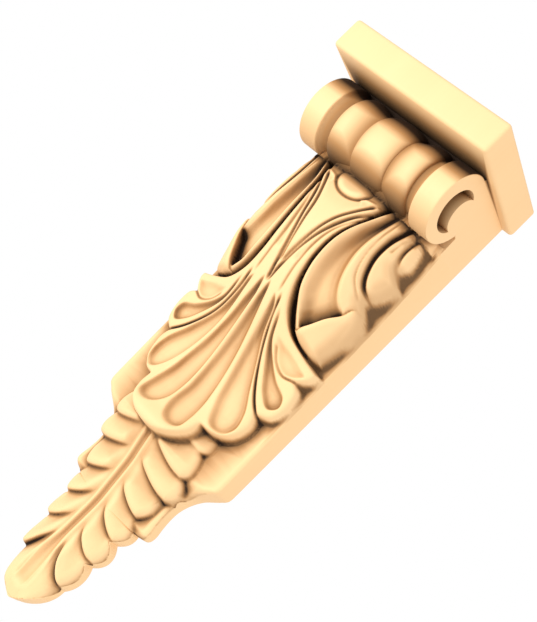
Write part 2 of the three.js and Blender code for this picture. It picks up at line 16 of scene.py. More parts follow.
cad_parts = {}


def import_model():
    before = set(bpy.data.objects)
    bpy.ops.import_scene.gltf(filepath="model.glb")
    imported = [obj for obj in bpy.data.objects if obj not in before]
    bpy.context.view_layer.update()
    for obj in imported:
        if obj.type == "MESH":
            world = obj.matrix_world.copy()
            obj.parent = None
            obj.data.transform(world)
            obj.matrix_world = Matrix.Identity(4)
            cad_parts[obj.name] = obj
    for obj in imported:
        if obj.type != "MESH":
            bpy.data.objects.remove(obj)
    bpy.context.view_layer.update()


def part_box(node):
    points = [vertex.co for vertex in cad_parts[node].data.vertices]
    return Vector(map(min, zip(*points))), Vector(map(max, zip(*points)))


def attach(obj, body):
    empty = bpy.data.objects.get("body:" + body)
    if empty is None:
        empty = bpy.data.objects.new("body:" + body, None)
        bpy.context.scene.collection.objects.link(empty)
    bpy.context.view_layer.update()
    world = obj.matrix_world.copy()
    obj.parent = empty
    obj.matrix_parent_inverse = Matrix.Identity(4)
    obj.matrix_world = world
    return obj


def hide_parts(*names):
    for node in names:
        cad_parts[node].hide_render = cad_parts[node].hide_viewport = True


LOG = logging.getLogger("corbel")
MM = 0.001
NODE = "corbel"
BODY = "root"
TINY = 1e-3

Points = tuple[tuple[float, float], ...]
Array = np.ndarray


def clamp01(value: Array) -> Array:
    """Cut values off at 0 and 1."""
    return np.clip(value, 0.0, 1.0)


def ease(value: Array) -> Array:
    """Smooth step from 0 to 1: 3t^2 - 2t^3."""
    t = clamp01(value)
    return t * t * (3.0 - 2.0 * t)


def quarter(value: Array) -> Array:
    """Quarter circle that rises from 0 at 0 to 1 at 1."""
    return np.sqrt(1.0 - (1.0 - clamp01(value)) ** 2)


def bell(value: Array) -> Array:
    """Bell curve exp(-t^2)."""
    return np.exp(-value * value)


def bowl(value: Array) -> Array:
    """Round bowl: 0 at its rim, 1 from a distance of 1 inwards, 1 - (1 - t)^2."""
    return 1.0 - (1.0 - clamp01(value)) ** 2


def rounded(inside: Array, radius: float | Array) -> Array:
    """How far a rounded edge lies below the surface at a distance inside it, by a quarter circle."""
    return radius * (1.0 - quarter(inside / radius))


def along(pairs: Points, place: Array) -> Array:
    """Cubic Hermite curve through (place, value) pairs, with the slope of the neighbours' chord.

    Args:
        pairs: Places in rising order, each with its value.
        place: Where the curve is read.

    Returns:
        The curve's values, constant beyond both ends.
    """
    xs, ys = np.array(pairs, dtype=float).T
    last = len(xs) - 1
    low = np.maximum(np.arange(last + 1) - 1, 0)
    high = np.minimum(np.arange(last + 1) + 1, last)
    slopes = (ys[high] - ys[low]) / (xs[high] - xs[low])
    at = np.clip(place, xs[0], xs[-1])
    i = np.clip(np.searchsorted(xs, at, side="right") - 1, 0, last - 1)
    span = xs[i + 1] - xs[i]
    t = (at - xs[i]) / span
    bend = t * (1.0 - t) * span
    return ys[i] + (ys[i + 1] - ys[i]) * ease(t) + bend * ((1.0 - t) * slopes[i] - t * slopes[i + 1])


def smooth_line(points: Points, per_span: int = 8) -> Array:
    """Centripetal Catmull-Rom curve through given points.

    Args:
        points: The points, as (across, down).
        per_span: Steps from each point to the next.

    Returns:
        An array of points, two columns.
    """
    p = np.array(points, dtype=float)
    p = np.vstack([2 * p[0] - p[1], p, 2 * p[-1] - p[-2]])
    knots = np.concatenate([[0.0], np.cumsum(np.sqrt(np.linalg.norm(np.diff(p, axis=0), axis=1)))])
    rows = []
    for k in range(1, len(p) - 2):
        t = np.linspace(knots[k], knots[k + 1], per_span, endpoint=False)[:, None]
        a = [
            (knots[k + j] - t) / (knots[k + j] - knots[k + j - 1]) * p[k + j - 1]
            + (t - knots[k + j - 1]) / (knots[k + j] - knots[k + j - 1]) * p[k + j]
            for j in range(3)
        ]
        b = [
            (knots[k + j + 1] - t) / (knots[k + j + 1] - knots[k + j - 1]) * a[j]
            + (t - knots[k + j - 1]) / (knots[k + j + 1] - knots[k + j - 1]) * a[j + 1]
            for j in range(2)
        ]
        span = knots[k + 1] - knots[k]
        rows.append((knots[k + 1] - t) / span * b[0] + (t - knots[k]) / span * b[1])
    return np.vstack([*rows, p[-2:-1]])


def nearest(chain: Array, across: Array, down: Array) -> tuple[Array, Array]:
    """Distance to a chain of points and how far along it the nearest place is.

    Args:
        chain: Points of the line.
        across: Distances from the middle line.
        down: Depths below the cap's top.

    Returns:
        Distances, and places from 0 at the chain's start to 1 at its end.
    """
    best = np.full(across.shape, np.inf)
    place = np.zeros(across.shape)
    count = len(chain) - 1
    for i in range(count):
        (x0, y0), (x1, y1) = chain[i], chain[i + 1]
        dx, dy = x1 - x0, y1 - y0
        t = clamp01(((across - x0) * dx + (down - y0) * dy) / max(dx * dx + dy * dy, 1e-9))
        distance = np.hypot(x0 + t * dx - across, y0 + t * dy - down)
        closer = distance < best
        best = np.where(closer, distance, best)
        place = np.where(closer, (i + t) / count, place)
    return best, place


def is_inside(outline: Array, across: Array, down: Array) -> Array:
    """True where a point lies inside a closed outline, by counting the edges to its right."""
    inside = np.zeros(across.shape, dtype=bool)
    for (x0, y0), (x1, y1) in zip(outline, np.roll(outline, 1, axis=0)):
        if y0 != y1:
            crosses = (y0 > down) != (y1 > down)
            inside ^= crosses & (across < (x1 - x0) * (down - y0) / (y1 - y0) + x0)
    return inside


def depth_inside(outline: Array, edge: Array, across: Array, down: Array) -> Array:
    """Distance to an edge line of a closed outline, above 0 inside it and below 0 outside."""
    return nearest(edge, across, down)[0] * np.where(is_inside(outline, across, down), 1.0, -1.0)


@dataclass(frozen=True)
class Ramp:
    """A stretch over which something comes in, or goes out where its length is below 0."""

    start: float
    length: float

    def straight(self, place: Array) -> Array:
        """Share from 0 at the start to 1 at the end of the stretch."""
        return clamp01((place - self.start) / self.length)

    def at(self, place: Array) -> Array:
        """The same share, eased."""
        return ease(self.straight(place))


class Fade(Enum):
    """How a carved line runs out towards its ends."""

    NONE = "even"
    END = "end"
    START = "start"
    BOTH = "both"

    def strength(self, place: Array, share: float = 0.1) -> Array:
        """Depth factor at a place along the line, easing over a share of its length."""
        start = ease(place / share) if self in (Fade.START, Fade.BOTH) else 1.0
        end = ease((1.0 - place) / share) if self in (Fade.END, Fade.BOTH) else 1.0
        return start * end


@dataclass(frozen=True)
class Cut:
    """A line cut into the wood with a rounded V, or a raised cord where its depth is below 0."""

    points: Points
    width: float
    depth: float
    fade: Fade = Fade.END

    def at(self, across: Array, down: Array) -> Array:
        """Depth of the cut, depth * exp(-(distance / width)^2), faded at its ends."""
        distance, place = nearest(smooth_line(self.points), across, down)
        return self.depth * self.fade.strength(place) * bell(distance / self.width)


@dataclass(frozen=True)
class Flute:
    """A concave channel inside a closed outline, which fades in down the leaf."""

    points: Points
    depth: float
    width: float
    fade: Ramp

    def at(self, across: Array, down: Array) -> Array:
        """Depth of the channel: a bowl of the distance inside its outline."""
        outline = smooth_line((*self.points, self.points[0]))
        inside = depth_inside(outline, outline, across, down)
        return self.depth * bowl(inside / self.width) * self.fade.at(down)


@dataclass(frozen=True)
class Leaflet:
    """One scale of the hanging leaf.

    Attributes:
        wide: Widest place, (across, down).
        reach: Half its length up and down.
        edge: Height out of the wall at its outer edge.
        end: Where its lower edge ends, (across, down).
        drop: How far the lower edge has dropped from the stem to there.
        upper_reach: How much longer the half under the next scale is.
        power: Power of the outline's half-width, 0.5 for an ellipse and more for a pointed one.
    """

    wide: tuple[float, float]
    reach: float
    edge: float
    end: tuple[float, float]
    drop: float
    upper_reach: float = 1.6
    power: float = 0.5

    def half_width(self, down: Array) -> Array:
        """Half-width of the scale's outline at one level, 0 beyond it."""
        lift = (down - self.wide[1]) / self.reach
        return self.wide[0] * np.maximum(1.0 - lift * lift, 0.0) ** self.power

    def edge_at(self, down: Array) -> Array:
        """Half-width with a longer upper half, where the next scale covers it."""
        upper = self.upper_reach * self.reach
        lift = (down - self.wide[1]) / np.where(down < self.wide[1], upper, self.reach)
        return self.wide[0] * np.sqrt(np.maximum(1.0 - lift * lift, 0.0))


@dataclass
class CarvedFront:
    """The carved front: board, shoulders, acanthus leaf with its side petals, and the hanging leaf.

    Curves of heights and half-widths are (down, value). Lines and outlines are (across, down), on the right
    half.
    """

    top: float = 75.0
    length: float = 469.5
    half_board: float = 66.3
    board_end: float = 310.0
    columns: int = 136
    rows: int = 840
    blur: float = 0.6
    ratio: float = 0.38
    least_height: float = 3.0

    crest: Points = (
        (75, 76), (94, 83), (124, 88.5), (145, 86.5), (165, 80.5), (202, 66.8), (240, 53.6), (266, 49.2),
        (280, 51.5), (292, 56), (303, 61.5), (312, 60))
    leaf_edge: Points = (
        (75, 46), (120, 43.5), (150, 40), (180, 39.8), (210, 40.8), (240, 36.5), (270, 28.9), (310, 24))
    board: Points = (
        (75, 43.5), (98, 37.5), (120, 34.5), (150, 31.5), (195, 29.2), (270, 26.3), (310, 24.7), (335, 24.7))
    stem: Points = (
        (310, 41), (326, 34.5), (337, 30), (349, 27), (360, 24.7), (375, 21.7), (390, 21.4), (452, 21.4),
        (469.5, 14))
    fullness: Points = (
        (75, 3.5), (150, 3.5), (180, 2.3), (210, 1.15), (240, 1.35), (270, 2.7), (312, 2.7))
    shoulders: Points = (
        (300, 66.3), (308, 65.5), (313, 61), (321, 52.3), (330, 46.6), (339, 43.6), (347, 43), (356, 43.7),
        (365, 44.8), (370.5, 42.5), (372.5, 37))
    shoulder_step: float = 311.0
    shoulder_step_length: float = 13.0
    shoulder_slant: float = 0.165
    wing_height: float = 14.0
    wing_end: Ramp = Ramp(366.0, 10.0)
    low_ground: float = 5.0

    leaflets: tuple[Leaflet, ...] = (
        Leaflet((23.2, 439.5), 30, 8.5, (10, 475), 0, power=0.8),
        Leaflet((28.9, 424), 25, 11, (22.5, 436.5), 38),
        Leaflet((33, 400), 20, 10, (25, 409), 23),
        Leaflet((34.9, 376.5), 20, 12, (28.5, 387.4), 22),
        Leaflet((37.9, 349), 24, 18, (30, 363), 16),
        Leaflet((44.6, 331), 18.5, 22, (34, 340), 13),
        Leaflet((43.9, 311.5), 18, 28, (34, 320.5), 13),
        Leaflet((43, 290), 16, 27, (37.5, 299), 8),
    )
    cushion_rise: float = 5.2
    cushion_length: float = 23.0
    cushion_edge: float = 5.5
    cushion_wall: float = 4.0
    stem_half_width: float = 5.5
    stem_slope: float = 1.2
    stem_corner: float = 0.1
    stem_margin: float = 9.0
    drop_power: float = 1.5
    dish_power: float = 2.5
    edge_flatness: float = 0.8
    edge_power: int = 4
    scales_top: float = 270.0
    groove_half_width: float = 2.6
    groove_depth: float = 2.2
    groove_end: float = 461.0
    groove_tip: float = 9.0
    groove_fade: float = 12.0
    groove_power: float = 1.5
    groove_rim: float = 1.3
    groove_rim_place: float = 1.2
    groove_rim_fade: float = 20.0
    groove_rim_loss: float = 0.6
    spoon: Ramp = Ramp(405.0, 45.0)
    spoon_half_width: float = 6.0
    spoon_depth: float = 2.4

    board_rounding: float = 3.0
    wing_rounding: float = 5.0
    leaf_rounding: float = 3.0
    petal_rounding: float = 5.0
    flap_rounding: float = 9.0
    flap_level: Ramp = Ramp(165.0, 15.0)
    edge_wall: float = 1.8
    leaf_thickness: float = 13.0
    outline_spare: float = 1.0
    ground_level: Ramp = Ramp(200.0, -14.0)
    ground_side: float = 9.0
    ground_margin: float = 1.0

    bead_level: float = 87.0
    bead_half_width: float = 15.0
    bead_half_height: float = 12.0
    bead_rise: float = 2.4
    bead_rounding: float = 6.0
    bead_groove: float = 1.5
    bead_groove_width: float = 0.8
    petal_lift: float = 1.0
    hollow_depth: float = 11.0
    hollow_side: float = 8.0
    hollow_lip_wall: float = 1.2
    flap_top: float = 150.5
    flap_rise: float = 4.2
    flap_slope: float = 0.36

    arm_edge: Points = (
        (30, 75), (24.5, 103), (19.5, 124), (18, 145), (19.2, 166), (24, 182), (34, 193), (49, 198.5),
        (64, 202))
    lobe_ends: tuple[Points, ...] = (
        ((64.0, 202), (63.5, 207), (60, 212), (56.5, 215.8)),
        ((56.5, 215.8), (61.5, 219.5), (63.5, 226), (63.5, 237), (60, 246), (51, 251)),
        ((51, 251), (53.3, 260.6), (49, 274), (39, 281.5), (29.6, 282.8)),
        ((29.6, 282.8), (28, 292.5), (21.5, 302), (11, 308.4), (0, 310)),
    )
    petal_inner: Points = (
        (37, 75), (28.5, 98), (22, 120), (20, 143), (22, 162), (27.5, 178), (34.5, 190))
    petal_foot: Points = ((34.5, 190), (44, 195.3), (53, 196.8), (58, 194.5))
    petal_outer: Points = (
        (58, 194.5), (61.5, 181), (64, 163), (62.5, 152.5), (57.5, 143.5), (61.3, 134), (64, 120))
    curl_end: Points = (
        (64, 120), (58.5, 112), (61, 104), (60.5, 97), (58.5, 87), (57, 75))
    hollow_rib: Points = (
        (37, 80), (28.5, 100), (24, 120), (23, 144), (26, 165), (31, 178.5), (38, 188))
    hollow_lip: Points = ((38, 188), (43, 180.5), (48.5, 170.5), (55.3, 160.5))
    hollow_rim: Points = (
        (55.3, 160.5), (49, 156), (43.5, 145.5), (40.2, 130), (39.2, 112), (42, 80))
    flap_edge: Points = (
        (37.5, 189.5), (43, 181), (49, 170.2), (55, 160.5), (58, 151.8), (63, 150.4))

    leaf_cuts: tuple[Cut, ...] = (
        Cut(((30, 84), (23.5, 92.5), (17, 103), (10.8, 115.5), (6.4, 132), (2.6, 152), (0, 166.5)), 1.0, 2.6),
        Cut(((38, 82), (29, 93.5), (19.5, 106.5), (11.6, 126), (6, 146), (1.8, 168), (0, 181.5)), 1.1, 3.0),
        Cut(((33, 93), (22.5, 108.5), (16.4, 122), (12.8, 140), (12.2, 160), (13.5, 184)),
            0.8, 1.3, Fade.BOTH),
        Cut(((30, 95), (19, 112), (12.5, 135), (9, 160)), 3.0, 1.6, Fade.BOTH),
        Cut(((15.5, 176), (18.5, 195), (24.7, 214.5), (34, 231.5), (43, 243.5), (51.5, 251.5)),
            0.9, 3.0, Fade.START),
        Cut(((30, 204), (38, 214.5), (47, 218.5), (56, 216)), 0.9, 2.0, Fade.START),
        Cut(((13.5, 96), (16.5, 92.6), (21, 91.2), (28, 90)), 1.5, -1.8, Fade.BOTH),
    )
    flutes: tuple[Flute, ...] = (
        Flute(((0.7, 190), (0.9, 230), (1, 266), (2, 288), (8, 297), (16, 299), (22.5, 295.5), (23, 285),
               (19.5, 262), (15.5, 240), (11, 216), (7, 192), (3.2, 176)), 4.8, 4.2, Ramp(168, 18)),
        Flute(((11, 180), (14.5, 219), (19, 243), (25.7, 266), (33.6, 278.6), (43, 279), (48.5, 269),
               (46, 256), (37.5, 241.5), (28.5, 224.5), (20.5, 207), (15.5, 186)), 4.8, 4.2, Ramp(172, 18)),
        Flute(((19.5, 186), (25, 208), (35, 224.6), (45, 237.4), (54, 242.7), (60, 237), (58, 229.5),
               (47, 224), (37, 216), (27.5, 205), (21.5, 186)), 4.2, 3.6, Ramp(182, 16)),
        Flute(((27, 199), (37, 213.5), (46, 218), (55, 214), (60, 208.5), (52, 205.5), (38, 201.5)),
              3.0, 6.0, Ramp(198, 8)),
    )
    petal_cuts: tuple[Cut, ...] = (
        Cut(((50, 80), (46.5, 104), (48, 123), (53.5, 137.5), (61.8, 141.4)), 1.9, 7.0),
        Cut(((55.8, 82), (55.2, 100), (58.5, 113), (65.2, 119)), 1.5, 4.5, Fade.NONE),
        Cut(((53.5, 86), (52, 95), (51.5, 108)), 0.8, 1.6, Fade.BOTH),
    )
    rim_cuts: tuple[Cut, ...] = (
        Cut(((43.5, 80), (42.2, 104), (44, 124), (48, 137.5), (57.5, 147.4)), 0.9, 2.0),
        Cut(((42, 80), (39.2, 112), (40.2, 130), (43.5, 145.5), (49, 156), (55.3, 160.5)), 0.8, 1.6),
    )

    def swell(self, across: Array, down: Array) -> Array:
        """The leaf's swell before it is cut: edge + (crest - edge)(1 - (across / half width)^fullness)."""
        edge = along(self.leaf_edge, down)
        share = clamp01(across / self.half_board) ** along(self.fullness, down)
        return edge + (along(self.crest, down) - edge) * (1.0 - share)

    def leaf_inside(self, across: Array, down: Array) -> Array:
        """Distance inside the acanthus leaf's outline, below 0 outside it."""
        edge = np.vstack([smooth_line(self.arm_edge), *(smooth_line(points) for points in self.lobe_ends)])
        corner = [[0.0, self.top - self.outline_spare]]
        return depth_inside(np.vstack([corner, edge]), edge, across, down)

    def petal_inside(self, across: Array, down: Array) -> Array:
        """Distance inside the side petals' outline, below 0 outside it."""
        parts = (self.petal_inner, self.petal_foot, self.petal_outer, self.curl_end)
        edge = np.vstack([smooth_line(points) for points in parts])
        return depth_inside(edge, edge, across, down)

    def lower_leaf(self, across: Array, down: Array) -> Array:
        """Height of the middle panel, the arms and the fluted lobes: the swell less its cuts and flutes."""
        out = self.swell(across, down)
        for carved in (*self.leaf_cuts, *self.flutes):
            out = out - carved.at(across, down)
        wide, tall = self.bead_half_width, self.bead_half_height
        inside = wide * (1.0 - np.hypot(across / wide, (down - self.bead_level) / tall))
        bead = self.bead_rise * bowl(inside / self.bead_rounding)
        groove = bell((inside + self.bead_groove_width) / self.bead_groove_width)
        return out + bead - self.bead_groove * groove

    def petal(self, across: Array, down: Array) -> Array:
        """Height of the cupped side petal, its turned-over flap, the petal behind it and the small curl."""
        out = self.swell(across, down) + self.petal_lift
        lines = (self.hollow_rib, self.hollow_lip, self.hollow_rim)
        rib, lip, rim = (smooth_line(points) for points in lines)
        side = np.minimum(nearest(rib, across, down)[0], nearest(rim, across, down)[0])
        steep = clamp01(nearest(lip, across, down)[0] / self.hollow_lip_wall)
        hollow = is_inside(np.vstack([rib, lip, rim]), across, down)
        out = out - np.where(hollow, self.hollow_depth * bowl(side / self.hollow_side) * steep, 0.0)
        edge = smooth_line(self.flap_edge)
        outer = smooth_line(self.petal_outer)
        beside = outer[outer[:, 1] > self.flap_top][::-1]
        outline = np.vstack([edge, beside, smooth_line(self.petal_foot)[::-1]])
        flap = depth_inside(outline, edge, across, down)
        turned = self.flap_rise * quarter(flap / self.flap_rise)
        turned = turned - self.flap_slope * np.maximum(0.0, flap - self.flap_rise)
        rim_lines = sum(cut.at(across, down) for cut in self.rim_cuts)
        out = out + np.where(flap > 0, turned, -rim_lines)
        for cut in self.petal_cuts:
            out = out - cut.at(across, down)
        return out

    def hanging_leaf(self, across: Array, down: Array, behind: Array) -> Array:
        """Height of the hanging leaf: each scale is a cushion laid over the one below it.

        With s = across / widest, a cushion stands stem + (edge - stem) s^p out of the wall. It swells by a
        rise that eases from its lower edge up to nothing and lessens outwards by a power of s. A quarter
        circle rounds it off along its edges.

        Args:
            across: Distances from the middle line.
            down: Depths below the cap's top.
            behind: Height of what lies behind the leaf.

        Returns:
            Heights of the leaf or of what lies behind it, whichever stands out further.
        """
        stem = along(self.stem, down)
        away = ease((across - self.stem_half_width) / self.stem_margin)
        corner = self.cushion_edge * (self.stem_corner + (1.0 - self.stem_corner) * away)
        out = np.maximum(behind, stem - self.stem_slope * np.maximum(across - self.stem_half_width, 0.0))
        for scale in self.leaflets:
            lower = scale.end[1] - scale.drop * clamp01(1.0 - across / scale.end[0]) ** self.drop_power
            above = lower - down
            inside = np.minimum(above, scale.edge_at(down) - across)
            share = clamp01(across / scale.wide[0])
            top = stem + (scale.edge - stem) * share ** self.dish_power
            swell = self.cushion_rise * away * (1.0 - ease(above / self.cushion_length))
            swell = swell * (1.0 - self.edge_flatness * share ** self.edge_power)
            edge = corner * (1.0 - quarter(inside / self.cushion_edge))
            edge = edge + self.cushion_wall * np.maximum(-inside, 0.0)
            out = np.maximum(out, top + swell - edge)
        return out

    def stem_groove(self, across: Array, down: Array) -> Array:
        """Depth of the groove down the stem: a V with a fine raised rim on each side, wider near the tip."""
        reach = self.groove_end - down
        spoon = self.spoon.at(down)
        half = (self.groove_half_width + self.spoon_half_width * spoon) * quarter(reach / self.groove_tip)
        share = across / np.maximum(half, TINY)
        rim = bell((across - half - self.groove_rim_place) / self.groove_rim)
        rim = rim * ease(reach / self.groove_rim_fade) * (1.0 - self.groove_rim_loss * spoon)
        depth = self.groove_depth + self.spoon_depth * spoon
        dip = clamp01(1.0 - share * share) ** self.groove_power
        return depth * dip * ease(reach / self.groove_fade) - rim

    def behind(self, across: Array, down: Array) -> Array:
        """Height of the board, stepping down to the wings past the shoulders and to low ground past them."""
        board = along(self.board, down)
        slant = self.shoulder_slant * (self.half_board - across)
        step = ease((down - self.shoulder_step - slant) / self.shoulder_step_length)
        wing = self.wing_height - (self.wing_height - self.low_ground) * self.wing_end.at(down)
        return board + (wing - board) * step

    def half_width(self, down: Array) -> Array:
        """Half-width of the whole carving at one level: the widest of the board and the scales."""
        widths = [scale.half_width(down) for scale in self.leaflets]
        board = np.where(down < self.shoulders[-1][0], along(self.shoulders, down), 0.0)
        return np.maximum.reduce([board, *widths, np.ones_like(down)])

    def relief(self, across: Array, down: Array) -> Array:
        """Height of the carved front out of the wall.

        Args:
            across: Distances from the middle line.
            down: Depths below the cap's top.

        Returns:
            Heights of the board or the hanging leaf, with the acanthus leaf and its petals laid over them.
        """
        def lay(sheet: Array, inside: Array, ground: Array) -> Array:
            """Lay a sheet over the ground, with a steep wall outside its outline."""
            return ground + (sheet - ground) * ease((inside + self.edge_wall) / self.edge_wall)

        edge = self.half_width(down) - across
        wing_edge, board_edge = rounded(edge, self.wing_rounding), rounded(edge, self.board_rounding)
        out = self.behind(across, down) - np.where(down > self.shoulder_step, wing_edge, board_edge)
        out = np.where(down > self.scales_top, self.hanging_leaf(across, down, out), out)
        out = out - np.where(down > self.board_end, self.stem_groove(across, down), 0.0)
        from_side = self.half_board - self.ground_margin - across
        near = self.ground_level.at(down) * ease(from_side / self.ground_side)
        out = out + np.maximum(self.swell(across, down) - self.leaf_thickness - out, 0.0) * near
        leaf = self.leaf_inside(across, down)
        out = lay(self.lower_leaf(across, down) - rounded(leaf, self.leaf_rounding), leaf, out)
        petal = self.petal_inside(across, down)
        more = (self.flap_rounding - self.petal_rounding) * self.flap_level.at(down)
        radius = self.petal_rounding + more
        out = lay(self.petal(across, down) - rounded(petal, radius), petal, out)
        return np.maximum(out, self.least_height)

    def grid(self) -> tuple[Array, Array, Array]:
        """Sample the carving on both halves.

        Returns:
            Places across, depths below the top, and heights out of the wall, as rows by columns.
        """
        share = np.linspace(0.0, 1.0, self.columns + 1)
        levels = np.linspace(self.top, self.length, self.rows + 1)
        down = np.repeat(levels[:, None], self.columns + 1, axis=1)
        across = share[None, :] * self.half_width(levels)[:, None]
        column_width, row_height = self.half_board / self.columns, levels[1] - levels[0]
        out = soften(self.relief(across, down), self.blur / column_width, self.blur / row_height)
        sides = ((-across, across), (down, down), (out, out))
        return tuple(np.hstack([left[:, :0:-1], right]) for left, right in sides)

    def build(self) -> bpy.types.Object:
        """Make the closed body between the carved front and the wall.

        Returns:
            The object, thinned where the wood is smooth.
        """
        across, down, out = self.grid()
        rows, columns = across.shape
        front = np.stack([across, -out, -down], axis=-1).reshape(-1, 3)
        index = np.arange(rows * columns).reshape(rows, columns)
        sides = index[:, [0, -1]]
        foot = front[sides.ravel()] * (1.0, 0.0, 1.0)
        back = len(front) + np.arange(2 * rows).reshape(rows, 2)
        faces = [
            grid_faces(index),
            np.stack([back[:-1, 0], back[1:, 0], sides[1:, 0], sides[:-1, 0]], axis=-1),
            np.stack([sides[:-1, 1], sides[1:, 1], back[1:, 1], back[:-1, 1]], axis=-1),
            np.stack([back[:-1, 1], back[1:, 1], back[1:, 0], back[:-1, 0]], axis=-1),
        ]
        caps = [
            [*index[0], back[0, 1], back[0, 0]],
            [*index[-1][::-1], back[-1, 0], back[-1, 1]],
        ]
        quads = np.vstack(faces).tolist()
        ends = [[int(i) for i in cap] for cap in caps]
        body = make_object("carved_front", np.vstack([front, foot]), quads + ends)
        thin = body.modifiers.new("thin", "DECIMATE")
        thin.ratio = self.ratio
        thin.use_collapse_triangulate = True
        apply_modifiers(body)
        return body


def soften(heights: Array, across: float, down: float) -> Array:
    """Blur a half carving with a Gaussian, mirrored about the middle line.

    Args:
        heights: Rows by columns, the first column on the middle line.
        across: Standard deviation along a row, in cells.
        down: Standard deviation along a column, in cells.

    Returns:
        The softened heights.
    """
    def kernel(sigma: float) -> Array:
        """Bell weights that sum to 1."""
        reach = max(1, math.ceil(3 * sigma))
        weights = np.exp(-0.5 * (np.arange(-reach, reach + 1) / sigma) ** 2)
        return weights / weights.sum()

    def blur(values: Array, weights: Array) -> Array:
        """Weighted sum of shifted copies along the second axis."""
        width = values.shape[1] - len(weights) + 1
        return sum(weight * values[:, k:k + width] for k, weight in enumerate(weights))

    wide, tall = kernel(across), kernel(down)
    pad = len(wide) // 2
    mirrored = np.hstack([heights[:, pad:0:-1], heights, np.repeat(heights[:, -1:], pad, axis=1)])
    result = blur(mirrored, wide)
    pad = len(tall) // 2
    padded = np.vstack([np.repeat(result[:1], pad, axis=0), result, np.repeat(result[-1:], pad, axis=0)])
    return blur(padded.T, tall).T


def grid_faces(index: Array) -> Array:
    """Quads over a grid of vertex numbers, facing -Y where columns run to +X and rows run down."""
    return np.stack([index[:-1, :-1], index[1:, :-1], index[1:, 1:], index[:-1, 1:]], axis=-1).reshape(-1, 4)


def add_object(name: str, data: bpy.types.ID) -> bpy.types.Object:
    """Make an object of a mesh, light or camera and link it to the scene."""
    made = bpy.data.objects.new(name, data)
    bpy.context.scene.collection.objects.link(made)
    return made


def make_object(name: str, points: Array, faces: list[list[int]]) -> bpy.types.Object:
    """Put points and faces into a mesh object at the origin.

    Args:
        name: The object's name.
        points: Vertices in millimetres, three columns, with Z measured from the cap's top.
        faces: Vertex numbers of each face.

    Returns:
        The linked object.
    """
    mesh = bpy.data.meshes.new(name)
    mesh.from_pydata((points * MM + (0.0, 0.0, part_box(NODE)[1][2])).tolist(), [], faces)
    mesh.update()
    return add_object(name, mesh)


def apply_modifiers(target: bpy.types.Object) -> None:
    """Replace an object's mesh by the one its modifiers make."""
    graph = bpy.context.evaluated_depsgraph_get()
    graph.update()
    finished = bpy.data.meshes.new_from_object(target.evaluated_get(graph))
    target.modifiers.clear()
    target.data = finished


class Joining(Enum):
    """What a tool body does to the wood."""

    ADD = "UNION"
    CUT = "DIFFERENCE"


def combine(target: bpy.types.Object, tool: bpy.types.Object, how: Joining) -> None:
    """Join a closed body to another or cut it out, and delete the tool.

    Args:
        target: The body that stays.
        tool: The body that is added or cut out.
        how: Whether it is added or cut.
    """
    step = target.modifiers.new("combine", "BOOLEAN")
    step.operation = how.value
    step.solver = "MANIFOLD"
    step.object = tool
    apply_modifiers(target)
    bpy.data.objects.remove(tool)


def prism(name: str, outline: Array, low: float, high: float) -> bpy.types.Object:
    """Carry a closed outline, drawn in Y and Z, straight along X.

    Args:
        name: The object's name.
        outline: Points (y, z) that run anticlockwise seen from +X.
        low: Where the body starts along X.
        high: Where it ends.

    Returns:
        The closed body.
    """
    count = len(outline)
    ends = [np.column_stack([np.full(count, x), outline]) for x in (low, high)]
    around = np.arange(count)
    following = (around + 1) % count
    walls = np.stack([around, following, following + count, around + count], axis=-1).tolist()
    caps = [around[::-1].tolist(), (around + count).tolist()]
    return make_object(name, np.vstack(ends), walls + caps)


def circle(radius: float, out: float, down: float, sides: int) -> Array:
    """Points (y, z) on a circle across X: centre + radius (cos, sin)."""
    turn = np.linspace(0.0, 2.0 * math.pi, sides, endpoint=False)
    return np.column_stack([radius * np.cos(turn) - out, radius * np.sin(turn) - down])


@dataclass
class Cap:
    """The square cap that carries the shelf."""

    width: float = 150.0
    height: float = 26.0
    depth: float = 119.0
    edge_radius: float = 3.0
    edge_steps: int = 5
    spare: float = 10.0

    def build(self) -> bpy.types.Object:
        """Make the block, longer at the wall by a spare length, with its edges rounded."""
        outline = np.array([
            (-self.depth, -self.height), (self.spare, -self.height), (self.spare, 0.0), (-self.depth, 0.0)])
        block = prism("cap", outline, -self.width / 2, self.width / 2)
        soft = block.modifiers.new("soft_edges", "BEVEL")
        soft.width = self.edge_radius * MM
        soft.segments = self.edge_steps
        apply_modifiers(block)
        return block


